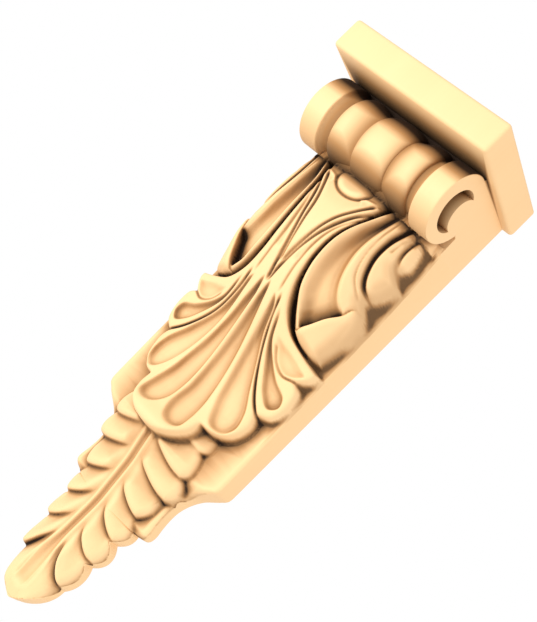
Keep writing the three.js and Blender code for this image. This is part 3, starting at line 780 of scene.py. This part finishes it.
@dataclass
class ScrollRoll:
    """The roll under the cap: a bead between two toruses, with a cove, a plain band and a scroll at each end.

    Sizes are in millimetres, with places along the roll from the middle line.
    """

    out: float = 73.5
    down: float = 55.8
    radius: float = 28.7
    valley: float = 23.2
    bead_end: float = 16.0
    torus_peak: float = 31.5
    torus_end: float = 40.0
    cove_end: float = 48.3
    half_width: float = 66.3
    bead_powers: tuple[float, float] = (2.2, 0.65)
    torus_drop: float = 0.7
    torus_power: float = 0.75
    cove_foot: float = 0.6
    cove_drop: float = 1.0
    cove_step: float = 0.01
    band_rounding: float = 1.2
    around: int = 144
    steps: tuple[int, ...] = (14, 22, 10, 5, 5)
    recess_radius: float = 17.6
    recess_depth: float = 16.0
    recess_centre: tuple[float, float] = (72.4, 56.8)
    eye_radius: float = 14.0
    eye_centre: tuple[float, float] = (60.0, 53.6)
    recess_sides: int = 96
    recess_spare: float = 2.0
    eye_spare: float = 1.0
    neck_foot: float = 80.0
    neck_top: float = 21.0
    neck_inside: float = 10.0
    board_corner: float = 64.5

    # Painted shade on the roll: darker towards the cap above, towards the underside below, and in the
    # valleys.
    shade_above: Ramp = Ramp(50.0, -14.0)
    shade_below: Ramp = Ramp(67.0, 16.0)
    shade_ends: float = 0.2
    shade_middle: float = 0.7
    shade_taper: float = 4.0
    shade_valley: float = 0.8
    shade_valley_depth: float = 7.0
    shade_valley_power: float = 1.5

    def radius_at(self, across: Array) -> Array:
        """Radius of the roll at a place along it.

        The bead rises by (1 - |x / w|^p)^q above the valleys, with its two powers. The torus eases up to its
        peak and turns down in a quarter circle. The cove is a quarter hollow, 1 - sqrt(1 - t^2), that climbs
        to the plain end band.
        """
        x = np.abs(across)
        swell = self.radius - self.valley
        power, fullness = self.bead_powers
        inner = (x - self.bead_end) / (self.torus_peak - self.bead_end)
        outer = (self.torus_end - x) / (self.torus_end - self.torus_peak)
        bead = self.valley + swell * (1.0 - clamp01(x / self.bead_end) ** power) ** fullness
        rise = np.where(x < self.torus_peak, ease(inner) ** self.torus_power, quarter(outer))
        torus = self.valley + (swell - self.torus_drop) * rise
        climb = clamp01((x - self.torus_end) / (self.cove_end - self.torus_end))
        hollow = 1.0 - np.sqrt(1.0 - climb * climb)
        cove = self.valley - self.cove_foot + (swell - self.cove_drop) * hollow
        corner = np.minimum(x - self.cove_end, self.half_width - x)
        band = self.radius - rounded(corner, self.band_rounding)
        ends = (self.bead_end, self.torus_end, self.cove_end)
        return np.select([x < end for end in ends], [bead, torus, cove], band)

    def stations(self) -> Array:
        """Places along the roll, closer together at the valleys and corners."""
        def spread(low: float, high: float, count: int) -> Array:
            """Cosine spacing from low to high."""
            return low + (high - low) * 0.5 * (1.0 - np.cos(np.linspace(0.0, math.pi, count)))

        bead, torus, cove, corner, end = self.steps
        half = np.concatenate([
            spread(-self.bead_end, self.bead_end, 2 * bead - 1)[bead - 1:-1],
            spread(self.bead_end, self.torus_end, torus)[:-1],
            spread(self.torus_end, self.cove_end - self.cove_step, cove),
            spread(self.cove_end, self.cove_end + self.band_rounding, corner)[1:],
            spread(self.half_width - self.band_rounding, self.half_width, end),
        ])
        return np.concatenate([-half[:0:-1], half])

    def build(self) -> bpy.types.Object:
        """Turn the profile about the roll's axis and close its ends."""
        x = self.stations()
        turn = np.linspace(0.0, 2.0 * math.pi, self.around, endpoint=False)
        radius = self.radius_at(x)[:, None]
        points = np.stack([
            np.repeat(x[:, None], self.around, axis=1),
            radius * np.cos(turn) - self.out,
            radius * np.sin(turn) - self.down,
        ], axis=-1).reshape(-1, 3)
        index = np.arange(len(points)).reshape(len(x), self.around)
        index = np.hstack([index, index[:, :1]])
        quads = np.stack([index[:-1, :-1], index[:-1, 1:], index[1:, 1:], index[1:, :-1]], axis=-1)
        ends = [index[0, -2::-1].tolist(), index[-1, :-1].tolist()]
        return make_object("scroll_roll", points, quads.reshape(-1, 4).tolist() + ends)

    def neck(self, board_out: float, foot_out: float) -> bpy.types.Object:
        """Make the block behind the roll, from the cap to the top of the carved front.

        Args:
            board_out: Height of the board where the carved front starts.
            foot_out: Height of the board at the neck's foot.

        Returns:
            The closed body.
        """
        side = np.array([
            (self.neck_inside, -self.neck_top), (-self.out, -self.neck_top), (-self.out, -self.down),
            (-board_out, -self.board_corner), (-foot_out, -self.neck_foot),
            (self.neck_inside, -self.neck_foot)])
        return prism("neck", side, -self.half_width, self.half_width)

    def recess(self, side: int) -> bpy.types.Object:
        """Make the crescent cut into one end: a disc less the eye that stands in it.

        Args:
            side: 1 for the right end, -1 for the left.

        Returns:
            The closed cutter.
        """
        spans = (-self.recess_depth, self.recess_spare)
        low, high = sorted(side * (self.half_width + past) for past in spans)
        disc = circle(self.recess_radius, *self.recess_centre, self.recess_sides)
        eye = circle(self.eye_radius, *self.eye_centre, self.recess_sides)
        cutter = prism("recess", disc, low, high)
        combine(cutter, prism("eye", eye, low - self.eye_spare, high + self.eye_spare), Joining.CUT)
        return cutter

    def shade(self, across: Array, down: Array) -> Array:
        """Painted shade on the roll: under the cap, towards its underside and in the valleys."""
        taper = clamp01((self.torus_end + self.shade_taper - across) / self.shade_taper)
        lower = self.shade_below.straight(down) * (self.shade_ends + self.shade_middle * taper)
        depth = clamp01((self.radius - self.radius_at(across)) / self.shade_valley_depth)
        valley = self.shade_valley * depth ** self.shade_valley_power
        return np.maximum.reduce([self.shade_above.straight(down), lower, valley])


@dataclass(frozen=True)
class Socket:
    """One input or output of a node group."""

    name: str
    kind: str
    value: float | tuple[float, ...] | None = None


class Nodes:
    """Short calls for wiring the nodes of one tree.

    Attributes:
        MIX_INPUTS: Places of the factor and the two colours among a colour Mix node's inputs.
        MIX_RESULT: Place of the colour among its outputs.
    """

    MIX_INPUTS = (0, 6, 7)
    MIX_RESULT = 2

    def __init__(self, tree: bpy.types.NodeTree) -> None:
        """Keep the tree."""
        self.tree = tree

    def add(self, kind: str, **settings: object) -> bpy.types.Node:
        """Add a node and set its own properties."""
        node = self.tree.nodes.new(kind)
        for name, value in settings.items():
            setattr(node, name, value)
        return node

    def link(self, source: bpy.types.NodeSocket, target: bpy.types.NodeSocket) -> None:
        """Join an output to an input."""
        self.tree.links.new(source, target)

    def feed(self, sockets: tuple[bpy.types.NodeSocket, ...], values: tuple[object, ...]) -> None:
        """Join each socket to its value where that is a socket, or else set it."""
        for socket, value in zip(sockets, values):
            if isinstance(value, bpy.types.NodeSocket):
                self.link(value, socket)
            else:
                socket.default_value = value

    def math(self, operation: str, a: object, b: object) -> bpy.types.NodeSocket:
        """Add a Math node on two sockets or numbers and return its output."""
        node = self.add("ShaderNodeMath", operation=operation)
        self.feed((node.inputs[0], node.inputs[1]), (a, b))
        return node.outputs[0]

    def mix(self, factor: object, a: object, b: object) -> bpy.types.NodeSocket:
        """Add a colour Mix node on sockets or colours and return its output."""
        node = self.add("ShaderNodeMix", data_type="RGBA")
        self.feed(tuple(node.inputs[i] for i in self.MIX_INPUTS), (factor, a, b))
        return node.outputs[self.MIX_RESULT]


def new_material(name: str) -> tuple[bpy.types.Material, bpy.types.Node]:
    """Start a node material and return it with its shader."""
    made = bpy.data.materials.new(name)
    made.use_nodes = True
    return made, made.node_tree.nodes["Principled BSDF"]


def new_group(
    name: str, inputs: list[Socket], outputs: list[Socket],
) -> tuple[Nodes, bpy.types.Node, bpy.types.Node]:
    """Start a shader node group with named inputs and outputs.

    Args:
        name: The group's name.
        inputs: Its input sockets.
        outputs: Its output sockets.

    Returns:
        The calls that wire it, and its input and output nodes.
    """
    group = bpy.data.node_groups.new(name, "ShaderNodeTree")
    for way, sockets in (("INPUT", inputs), ("OUTPUT", outputs)):
        for socket in sockets:
            made = group.interface.new_socket(socket.name, in_out=way, socket_type=socket.kind)
            if socket.value is not None:
                made.default_value = socket.value
    nodes = Nodes(group)
    return nodes, nodes.add("NodeGroupInput"), nodes.add("NodeGroupOutput")


def wood_grain_group() -> bpy.types.NodeTree:
    """Grain that runs along Z: broad bands, fine streaks and short pores, from noise stretched along Z."""
    nodes, given, result = new_group(
        "Wood grain",
        [Socket("Band scale", "NodeSocketFloat", 14.0), Socket("Streak scale", "NodeSocketFloat", 420.0)],
        [Socket(name, "NodeSocketFloat") for name in ("Bands", "Streaks", "Pores")],
    )
    place = nodes.add("ShaderNodeTexCoord")

    def stretched(scale: object, along_z: float, detail: float, distortion: float) -> bpy.types.NodeSocket:
        """Noise squeezed along Z by a factor, at a scale across the grain."""
        squeeze = nodes.add("ShaderNodeMapping")
        squeeze.inputs["Scale"].default_value = (1.0, 1.0, along_z)
        nodes.link(place.outputs["Object"], squeeze.inputs["Vector"])
        noise = nodes.add("ShaderNodeTexNoise")
        nodes.link(squeeze.outputs[0], noise.inputs["Vector"])
        nodes.link(scale, noise.inputs["Scale"])
        noise.inputs["Detail"].default_value = detail
        noise.inputs["Distortion"].default_value = distortion
        return noise.outputs["Fac"]

    pore_scale, pore_level, pore_depth = 2.2, 0.32, 0.2
    bands = stretched(given.outputs["Band scale"], along_z=0.12, detail=3.0, distortion=0.6)
    streaks = stretched(given.outputs["Streak scale"], along_z=0.04, detail=2.0, distortion=0.2)
    finer = nodes.math("MULTIPLY", given.outputs["Streak scale"], pore_scale)
    pores = nodes.math("SUBTRACT", stretched(finer, along_z=0.06, detail=1.0, distortion=0.0), pore_level)
    nodes.link(bands, result.inputs["Bands"])
    nodes.link(streaks, result.inputs["Streaks"])
    nodes.link(nodes.math("SMOOTH_MIN", pores, pore_depth), result.inputs["Pores"])
    return nodes.tree


def crease_shade_group() -> bpy.types.NodeTree:
    """Painted shade in the creases and a painted highlight on fine edges, from the mesh's cavity attribute.
    """
    nodes, given, result = new_group(
        "Crease shade",
        [
            Socket("Color", "NodeSocketColor", (0.8, 0.8, 0.8, 1.0)),
            Socket("Hollow color", "NodeSocketColor", (0.5, 0.3, 0.1, 1.0)),
            Socket("Crease color", "NodeSocketColor", (0.2, 0.1, 0.05, 1.0)),
            Socket("Edge color", "NodeSocketColor", (1.0, 0.9, 0.7, 1.0)),
            Socket("Edge strength", "NodeSocketFloat", 0.3),
        ],
        [Socket("Color", "NodeSocketColor"), Socket("Crease", "NodeSocketFloat")],
    )
    cavity = nodes.add("ShaderNodeAttribute", attribute_name="cavity").outputs["Fac"]

    def between(value: bpy.types.NodeSocket) -> bpy.types.NodeSocket:
        """Cut a value off at 0 and 1."""
        return nodes.math("MINIMUM", nodes.math("MAXIMUM", value, 0.0), 1.0)

    # The cavity attribute carries painted shade: above 0 it darkens the colour towards the hollow and crease
    # colours, below 0 it lightens it towards the edge colour as a painted highlight.
    edge_gain, hollow_gain = -3.0, 2.0
    light = between(nodes.math("MULTIPLY", cavity, edge_gain))
    edge = nodes.math("MULTIPLY", light, given.outputs["Edge strength"])
    color = nodes.mix(edge, given.outputs["Color"], given.outputs["Edge color"])
    twice = nodes.math("MULTIPLY", cavity, hollow_gain)
    color = nodes.mix(between(twice), color, given.outputs["Hollow color"])
    deep = between(nodes.math("SUBTRACT", twice, 1.0))
    nodes.link(nodes.mix(deep, color, given.outputs["Crease color"]), result.inputs["Color"])
    nodes.link(between(cavity), result.inputs["Crease"])
    return nodes.tree


@dataclass(frozen=True)
class CarvedWoodFinish:
    """Pale carved hardwood under a satin finish, with painted shade in the creases and a painted highlight on
    fine edges.
    """

    name: str = "carved_wood"
    pale: tuple[float, float, float, float] = (0.88, 0.60, 0.32, 1.0)
    warm: tuple[float, float, float, float] = (0.82, 0.53, 0.27, 1.0)
    # Painted shade colours: hollow for the shallower hollows, crease for the deepest creases; edge is a
    # painted highlight colour for fine edges.
    hollow: tuple[float, float, float, float] = (0.42, 0.22, 0.085, 1.0)
    crease: tuple[float, float, float, float] = (0.022, 0.010, 0.004, 1.0)
    edge: tuple[float, float, float, float] = (0.93, 0.68, 0.40, 1.0)
    edge_strength: float = 0.3
    streak_level: float = 0.45
    streak_strength: float = 0.5
    roughness: float = 0.49
    streak_roughness: float = 0.12
    crease_roughness: float = 0.25
    specular: float = 0.25
    bump_height: float = 0.00012
    bump_strength: float = 0.5
    streak_bump: float = 0.6

    def material(self) -> bpy.types.Material:
        """Make the material: grain for colour and bump, and the painted crease shade and edge highlight on
        top.
        """
        made, shader = new_material(self.name)
        nodes = Nodes(made.node_tree)
        grain = nodes.add("ShaderNodeGroup", node_tree=wood_grain_group())
        shade = nodes.add("ShaderNodeGroup", node_tree=crease_shade_group())
        streaks = grain.outputs["Streaks"]
        bands = nodes.mix(grain.outputs["Bands"], self.pale, self.warm)
        warmer = nodes.math("SUBTRACT", streaks, self.streak_level)
        warmer = nodes.math("MULTIPLY", warmer, self.streak_strength)
        nodes.link(nodes.mix(warmer, bands, self.warm), shade.inputs["Color"])
        looks = {"Crease color": self.crease, "Edge color": self.edge, "Hollow color": self.hollow,
                 "Edge strength": self.edge_strength}
        for name, value in looks.items():
            shade.inputs[name].default_value = value
        nodes.link(shade.outputs["Color"], shader.inputs["Base Color"])
        rough = nodes.math("ADD", nodes.math("MULTIPLY", streaks, self.streak_roughness), self.roughness)
        in_crease = nodes.math("MULTIPLY", shade.outputs["Crease"], self.crease_roughness)
        nodes.link(nodes.math("ADD", rough, in_crease), shader.inputs["Roughness"])
        shader.inputs["Specular IOR Level"].default_value = self.specular
        bump = nodes.add("ShaderNodeBump")
        bump.inputs["Distance"].default_value = self.bump_height
        bump.inputs["Strength"].default_value = self.bump_strength
        height = nodes.math("ADD", nodes.math("MULTIPLY", streaks, self.streak_bump), grain.outputs["Pores"])
        nodes.link(height, bump.inputs["Height"])
        nodes.link(bump.outputs["Normal"], shader.inputs["Normal"])
        return made


@dataclass
class CavityMap:
    """How much painted shade the carving gets, on a square grid of its right half seen from the front.

    A value is 0 where the wood lies open, 1 for the darkest painted shade deep in a crease and below 0 for a
    painted highlight on fine edges.
    """

    cell: float = 0.6
    turns: int = 16
    reaches: tuple[float, ...] = (1.0, 2.0, 3.0, 5.0, 8.0, 12.0, 18.0, 27.0, 40.0)
    lowest_slope: float = -4.0
    flat_sky: float = 0.985
    first_shade: float = 0.5
    second_shade: float = 0.5
    first_reach: float = 0.34
    first_reach_less: float = 0.12
    second_reach: float = 0.4
    fine_blur: float = 0.5
    ripple_blur: float = 1.8
    ripple_height: float = 2.0
    ripple_strength: float = 0.4
    ripple_limits: tuple[float, float] = (-0.5, 1.0)
    around_blur: float = 5.0
    sunk_shade: float = 0.5
    sunk_start: float = 0.8
    sunk_depth: float = 10.0
    sunk_depth_less: float = 5.0
    hanging: Ramp = Ramp(305.0, 12.0)
    hanging_sunk: Ramp = Ramp(305.0, 15.0)
    groove: Ramp = Ramp(7.0, -2.0)
    groove_lightening: float = 0.5
    side_start: float = 50.0
    side_shade: float = 0.4
    side_limit: float = 0.85
    petal_levels: tuple[Ramp, ...] = (Ramp(88.0, 8.0), Ramp(256.0, -8.0))
    ground_edge: float = 0.4
    ground_fade: float = 1.5
    ground_shade: float = 0.6
    against_petals: float = 0.25
    against_reach: float = 4.0
    rim_sides: Ramp = Ramp(34.0, 8.0)
    rim_levels: Ramp = Ramp(95.0, 20.0)
    rim_reach: float = 9.0
    rim_outside: float = 2.0
    rim_shade: float = 0.42
    edge_cells: float = 1.001

    def open_sky(self, heights: Array) -> Array:
        """Share of open sky over each cell of a height map.

        Over directions f with horizon angle h and the normal's parts n0 out of the wall and nf towards f, it
        is the mean of n0 cos^2 h + nf (pi / 2 - h - sin(2h) / 2).

        Args:
            heights: Heights of the right half, rows down and columns across.

        Returns:
            Shares from 0 to 1, on the same grid.
        """
        cell = self.cell
        whole = np.hstack([heights[:, :0:-1], heights])
        slope_down, slope_across = np.gradient(whole, cell)
        facing = 1.0 / np.sqrt(1.0 + slope_down ** 2 + slope_across ** 2)
        pad = math.ceil(self.reaches[-1] / cell) + 1
        padded = np.pad(whole, pad)
        rows, columns = whole.shape
        total = np.zeros_like(whole)
        for turn in np.arange(self.turns) * 2.0 * math.pi / self.turns:
            towards = -facing * (slope_across * math.cos(turn) + slope_down * math.sin(turn))
            horizon = np.full_like(whole, self.lowest_slope)
            for reach in self.reaches:
                i, j = round(reach * math.sin(turn) / cell), round(reach * math.cos(turn) / cell)
                seen = padded[pad + i:pad + i + rows, pad + j:pad + j + columns]
                horizon = np.maximum(horizon, (seen - whole) / (cell * math.hypot(i, j)))
            angle = np.arctan(np.maximum(horizon, -towards / np.maximum(facing, TINY)))
            total += facing * np.cos(angle) ** 2 + towards * (math.pi / 2 - angle - np.sin(2.0 * angle) / 2)
        return clamp01(total / self.turns)[:, heights.shape[1] - 1:]

    def sunk(self, heights: Array, down: Array) -> Array:
        """Painted shade on the places that lie below the mean height of the wood around them."""
        blur = self.around_blur / self.cell
        wood_here = (heights > 0.0).astype(float)
        around = soften(heights, blur, blur) / np.maximum(soften(wood_here, blur, blur), TINY)
        depth = self.sunk_depth - self.sunk_depth_less * self.hanging_sunk.at(down)
        return self.sunk_shade * clamp01((around - heights - self.sunk_start) / depth)

    def petals(self, front: CarvedFront, across: Array, down: Array) -> Array:
        """Painted shade on the sunk ground from the side petals to the board's edge, and on the petals' outer
        rims.

        Args:
            front: The carved front.
            across: Distances from the middle line.
            down: Depths below the cap's top.

        Returns:
            Painted shades, 0 elsewhere.
        """
        petal = front.petal_inside(across, down)
        inside = np.maximum(petal, front.leaf_inside(across, down))
        first, last = self.petal_levels
        edge = ease((front.half_board - self.ground_edge - across) / self.ground_fade)
        ground = ease(-inside / self.ground_fade) * edge * (first.at(down) * last.at(down))
        against = self.against_petals * ease(1.0 + inside / self.against_reach)
        ground = ground * (self.ground_shade + against)
        rim = ease(1.0 - petal / self.rim_reach) * (petal > -self.rim_outside)
        rim = rim * self.rim_sides.at(across) * self.rim_levels.at(down)
        return np.maximum(ground, self.rim_shade * rim)

    def values(self, front: CarvedFront, heights: Array) -> Array:
        """Work out the painted shade map from the hidden sky, the sunk places, the petals and the surface's
        fine ripple.

        Args:
            front: The carved front.
            heights: Heights of the right half, rows down and columns across.

        Returns:
            The map's values.
        """
        rows, columns = heights.shape
        across, down = np.meshgrid(self.cell * np.arange(columns), self.cell * np.arange(rows))
        fine, coarse = (soften(heights, blur / self.cell, blur / self.cell)
                        for blur in (self.fine_blur, self.ripple_blur))
        ripple = (coarse - fine) / self.ripple_height
        hanging = self.hanging.at(down)
        hidden = self.flat_sky - self.open_sky(heights)
        reach = self.first_reach - self.first_reach_less * hanging
        shade = self.first_shade * clamp01(hidden / reach)
        shade = shade + self.second_shade * clamp01((hidden - reach) / self.second_reach)
        below = np.maximum(self.sunk(heights, down), self.petals(front, across, down))
        # The ripple adds painted shade in fine creases and, where below 0, a painted highlight on fine edges.
        cavity = np.maximum(shade, below) + self.ripple_strength * np.clip(ripple, *self.ripple_limits)
        cavity = cavity * (1.0 - self.groove_lightening * hanging * self.groove.at(across))
        beside = (across > self.side_start) & (below > self.side_shade)
        return np.where(beside, np.minimum(cavity, self.side_limit), cavity)

    def read(self, values: Array, across: Array, down: Array) -> Array:
        """Read the map at places between its cells, linearly both ways."""
        column = np.clip(across / self.cell, 0.0, values.shape[1] - self.edge_cells)
        row = np.clip(down / self.cell, 0.0, values.shape[0] - self.edge_cells)
        i, j = row.astype(int), column.astype(int)
        s, t = row - i, column - j
        return (
            values[i, j] * (1 - s) * (1 - t) + values[i + 1, j] * s * (1 - t)
            + values[i, j + 1] * (1 - s) * t + values[i + 1, j + 1] * s * t
        )


@dataclass
class Corbel:
    """The whole corbel, joined from its sub-assemblies into one piece of wood."""

    front: CarvedFront = field(default_factory=CarvedFront)
    roll: ScrollRoll = field(default_factory=ScrollRoll)
    cap: Cap = field(default_factory=Cap)
    cavities: CavityMap = field(default_factory=CavityMap)
    finish: CarvedWoodFinish = field(default_factory=CarvedWoodFinish)
    smooth_angle: float = math.radians(38)
    past_wall: float = 20.0
    map_margin: float = 4.0

    def build(self) -> bpy.types.Object:
        """Join the sub-assemblies, cut the end scrolls and the wall side, and dress the wood."""
        wood = self.front.build()
        wood.name = "corbel_wood"
        LOG.info("carved front: %d faces", len(wood.data.polygons))
        levels = np.array([self.front.top, self.roll.neck_foot])
        outs = along(self.front.board, levels)
        for body in (self.roll.neck(*outs), self.roll.build(), self.cap.build()):
            combine(wood, body, Joining.ADD)
        for side in (-1, 1):
            combine(wood, self.roll.recess(side), Joining.CUT)
        past, low = self.past_wall, -2 * self.front.length
        wall = np.array([(0.0, low), (past, low), (past, past), (0.0, past)])
        combine(wood, prism("wall", wall, -self.cap.width, self.cap.width), Joining.CUT)
        self.shade_smooth(wood)
        # Paint shade into the creases and hollows, and highlights onto fine edges, through the cavity
        # attribute.
        self.mark_cavities(wood)
        wood.data.materials.clear()
        wood.data.materials.append(self.finish.material())
        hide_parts(NODE)
        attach(wood, BODY)
        LOG.info("%s: %d faces", wood.name, len(wood.data.polygons))
        return wood

    def shade_smooth(self, wood: bpy.types.Object) -> None:
        """Shade smooth, with edges sharper than the smooth angle kept crisp."""
        wood.data.polygons.foreach_set("use_smooth", np.ones(len(wood.data.polygons), dtype=bool))
        wood.data.set_sharp_from_angle(angle=self.smooth_angle)
        wood.data.update()

    def front_map(self, cell: float) -> Array:
        """Height out of the wall as seen from the front, on a square grid.

        Args:
            cell: Size of a grid cell in millimetres.

        Returns:
            Heights, rows from the cap's top down and columns from the middle line to past the cap's side.
        """
        front, roll, cap = self.front, self.roll, self.cap
        columns = np.arange(0.0, cap.width / 2 + self.map_margin, cell)
        rows = np.arange(0.0, front.length + self.map_margin, cell)
        down, across = (grid.astype(float) for grid in np.meshgrid(rows, columns, indexing="ij"))
        half = front.half_width(down)
        on_front = (down >= front.top) & (across <= half)
        carved = np.where(on_front, front.relief(np.minimum(across, half), down), 0.0)
        chord = np.maximum(roll.radius_at(across) ** 2 - (down - roll.down) ** 2, 0.0)
        in_roll = (across <= roll.half_width) & (down < roll.down + roll.radius)
        on_roll = in_roll & ((chord > 0.0) | (down < roll.down))
        turned = np.where(on_roll, roll.out + np.sqrt(chord), 0.0)
        block = np.where((down <= cap.height) & (across <= cap.width / 2), cap.depth, 0.0)
        return np.maximum.reduce([carved, turned, block])

    def cavity_at(self, sampled: Array, across: Array, out: Array, down: Array) -> Array:
        """Cavity values of places on the wood.

        Args:
            sampled: Values of the front's cavity map there.
            across: Distances from the middle line.
            out: Heights out of the wall.
            down: Depths below the cap's top.

        Returns:
            The map's values on the front, painted shades of their own on the roll and just below it, 1 for
            full painted shade in the crescents and under the cap, and 0 on the cap and on the sides.
        """
        front, roll, cap = self.front, self.roll, self.cap
        near, recess_rim, recess_side = 0.3, 6.5, 0.5
        beneath_end, beneath_length = 9.0, 8.0
        cap_margin, cap_under, wall_side, under_side = 0.05, 0.06, 20.0, 3.0
        on_side = across > np.where(down < front.top, roll.half_width, front.half_width(down)) - near
        from_axis = np.hypot(out - roll.out, down - roll.down)
        in_roll = from_axis < roll.radius + near
        within = (across < roll.half_width - recess_side) & (across > roll.cove_end)
        in_recess = (from_axis < roll.radius - recess_rim) & within
        # Painted shade just below the roll, fading away from it.
        beneath = clamp01((roll.radius + beneath_end - from_axis) / beneath_length)
        values = np.where(in_roll, roll.shade(across, down), np.maximum(sampled, beneath))
        values = np.where((down < cap.height - cap_margin) | (on_side & ~in_recess), 0.0, values)
        under_cap = (np.abs(down - cap.height) < cap_under) & (out > wall_side)
        under_cap = under_cap & (across < roll.half_width + under_side)
        # Full painted shade in the end crescents and along the cap's underside.
        return np.where(in_recess | under_cap, 1.0, values)

    def mark_cavities(self, wood: bpy.types.Object) -> None:
        """Write the cavity attribute, which carries the painted shade and edge highlight, on the wood's
        vertices.
        """
        points = np.empty(len(wood.data.vertices) * 3)
        wood.data.vertices.foreach_get("co", points)
        points = points.reshape(-1, 3) / MM
        across, out, down = np.abs(points[:, 0]), -points[:, 1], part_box(NODE)[1][2] / MM - points[:, 2]
        values = self.cavities.values(self.front, self.front_map(self.cavities.cell))
        sampled = self.cavities.read(values, across, down)
        layer = wood.data.attributes.new("cavity", "FLOAT", "POINT")
        layer.data.foreach_set("value", np.clip(self.cavity_at(sampled, across, out, down), -1.0, 1.0))


@dataclass(frozen=True)
class SoftLight:
    """A square soft light that faces the corbel, in metres and watts."""

    name: str
    place: tuple[float, float, float]
    size: float
    power: float
    color: tuple[float, float, float]
    aim: tuple[float, float, float] = (0.0, -0.04, -0.02)

    def build(self) -> None:
        """Make the light and turn it to its aim."""
        lamp = bpy.data.lights.new(self.name, "AREA")
        lamp.size = self.size
        lamp.energy = self.power
        lamp.color = self.color
        towards = (Vector(self.aim) - Vector(self.place)).to_track_quat("-Z", "Y")
        made = add_object(self.name, lamp)
        made.matrix_world = Matrix.Translation(self.place) @ towards.to_matrix().to_4x4()


@dataclass
class Studio:
    """Pale floor, soft lights and the camera at the photograph's viewing angle.

    Sizes are in metres. The camera stands right of the middle and a little below the origin, looks slightly
    up and is rolled, so that the corbel lies across the picture.
    """

    frame_height_px: int = 622
    focal_px: float = 1246.2
    sensor: float = 36.0
    place: tuple[float, float, float] = (0.45555, -0.81653, -0.11325)
    azimuth: float = math.radians(30.456)
    elevation: float = math.radians(-4.585)
    roll: float = math.radians(45.358)
    near_clip: float = 0.01
    sky_light: float = 0.85
    floor_height: float = -0.45
    floor_rings: tuple[float, ...] = (0.2, 0.42)
    floor_spokes: int = 64
    floor_color: tuple[float, float, float, float] = (0.9, 0.9, 0.9, 1.0)
    floor_roughness: float = 0.9
    lights: tuple[SoftLight, ...] = (
        SoftLight("key", (-0.45, -1.3, -0.1), 0.7, 16.0, (1.0, 0.97, 0.92)),
        SoftLight("side fill", (1.4, -0.2, 0.0), 1.0, 7.5, (1.0, 0.95, 0.88)),
    )

    def axes(self) -> tuple[Vector, Vector, Vector]:
        """Right, up and forward of the camera: level axes turned by the roll about the line of sight."""
        forward = Vector((
            -math.sin(self.azimuth) * math.cos(self.elevation),
            math.cos(self.azimuth) * math.cos(self.elevation),
            -math.sin(self.elevation),
        ))
        level = Vector((math.cos(self.azimuth), math.sin(self.azimuth), 0.0))
        upright = level.cross(forward)
        right = math.cos(self.roll) * level + math.sin(self.roll) * upright
        up = -math.sin(self.roll) * level + math.cos(self.roll) * upright
        return right, up, forward

    def camera(self) -> None:
        """Make the camera and set it as the scene's."""
        lens = bpy.data.cameras.new("camera")
        lens.sensor_width = self.sensor
        lens.lens = self.focal_px / self.frame_height_px * self.sensor
        lens.clip_start = self.near_clip
        made = add_object("camera", lens)
        right, up, forward = self.axes()
        turn = Matrix((right, up, -forward)).transposed().to_4x4()
        made.matrix_world = Matrix.Translation(self.place) @ turn
        bpy.context.scene.camera = made

    def floor(self) -> None:
        """Make the pale floor, a disc of rings and spokes below the corbel."""
        turn = np.linspace(0.0, 2.0 * math.pi, self.floor_spokes, endpoint=False)
        across, along_y = (np.outer(self.floor_rings, wave(turn)) for wave in (np.cos, np.sin))
        rings = np.stack([across, along_y, np.full_like(across, self.floor_height)], axis=-1).reshape(-1, 3)
        index = 1 + np.arange(len(rings)).reshape(-1, self.floor_spokes)
        index = np.hstack([index, index[:, :1]])
        hub = [[0, int(a), int(b)] for a, b in zip(index[0, :-1], index[0, 1:])]
        faces = hub + grid_faces(index).tolist()
        mesh = bpy.data.meshes.new("floor")
        mesh.from_pydata([(0.0, 0.0, self.floor_height), *rings.tolist()], [], faces)
        pale, shader = new_material("pale_floor")
        shader.inputs["Base Color"].default_value = self.floor_color
        shader.inputs["Roughness"].default_value = self.floor_roughness
        mesh.materials.append(pale)
        made = add_object("floor", mesh)

    def build(self) -> None:
        """Set the stage: camera, floor, sky and lights."""
        self.camera()
        self.floor()
        sky = bpy.data.worlds.new("sky")
        sky.use_nodes = True
        nodes = Nodes(sky.node_tree)
        background = sky.node_tree.nodes["Background"]
        background.inputs["Color"].default_value = (1.0, 1.0, 1.0, 1.0)
        seen = nodes.add("ShaderNodeLightPath").outputs["Is Camera Ray"]
        lit = nodes.math("ADD", nodes.math("MULTIPLY", seen, 1.0 - self.sky_light), self.sky_light)
        nodes.link(lit, background.inputs["Strength"])
        bpy.context.scene.world = sky
        bpy.context.scene.view_settings.view_transform = "Standard"
        for light in self.lights:
            light.build()


def main() -> None:
    """Build the corbel, dress it, light it and set the camera."""
    logging.basicConfig(level=logging.INFO, format="%(name)s: %(message)s")
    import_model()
    Studio().build()
    Corbel().build()


if __name__ == "__main__":
    main()
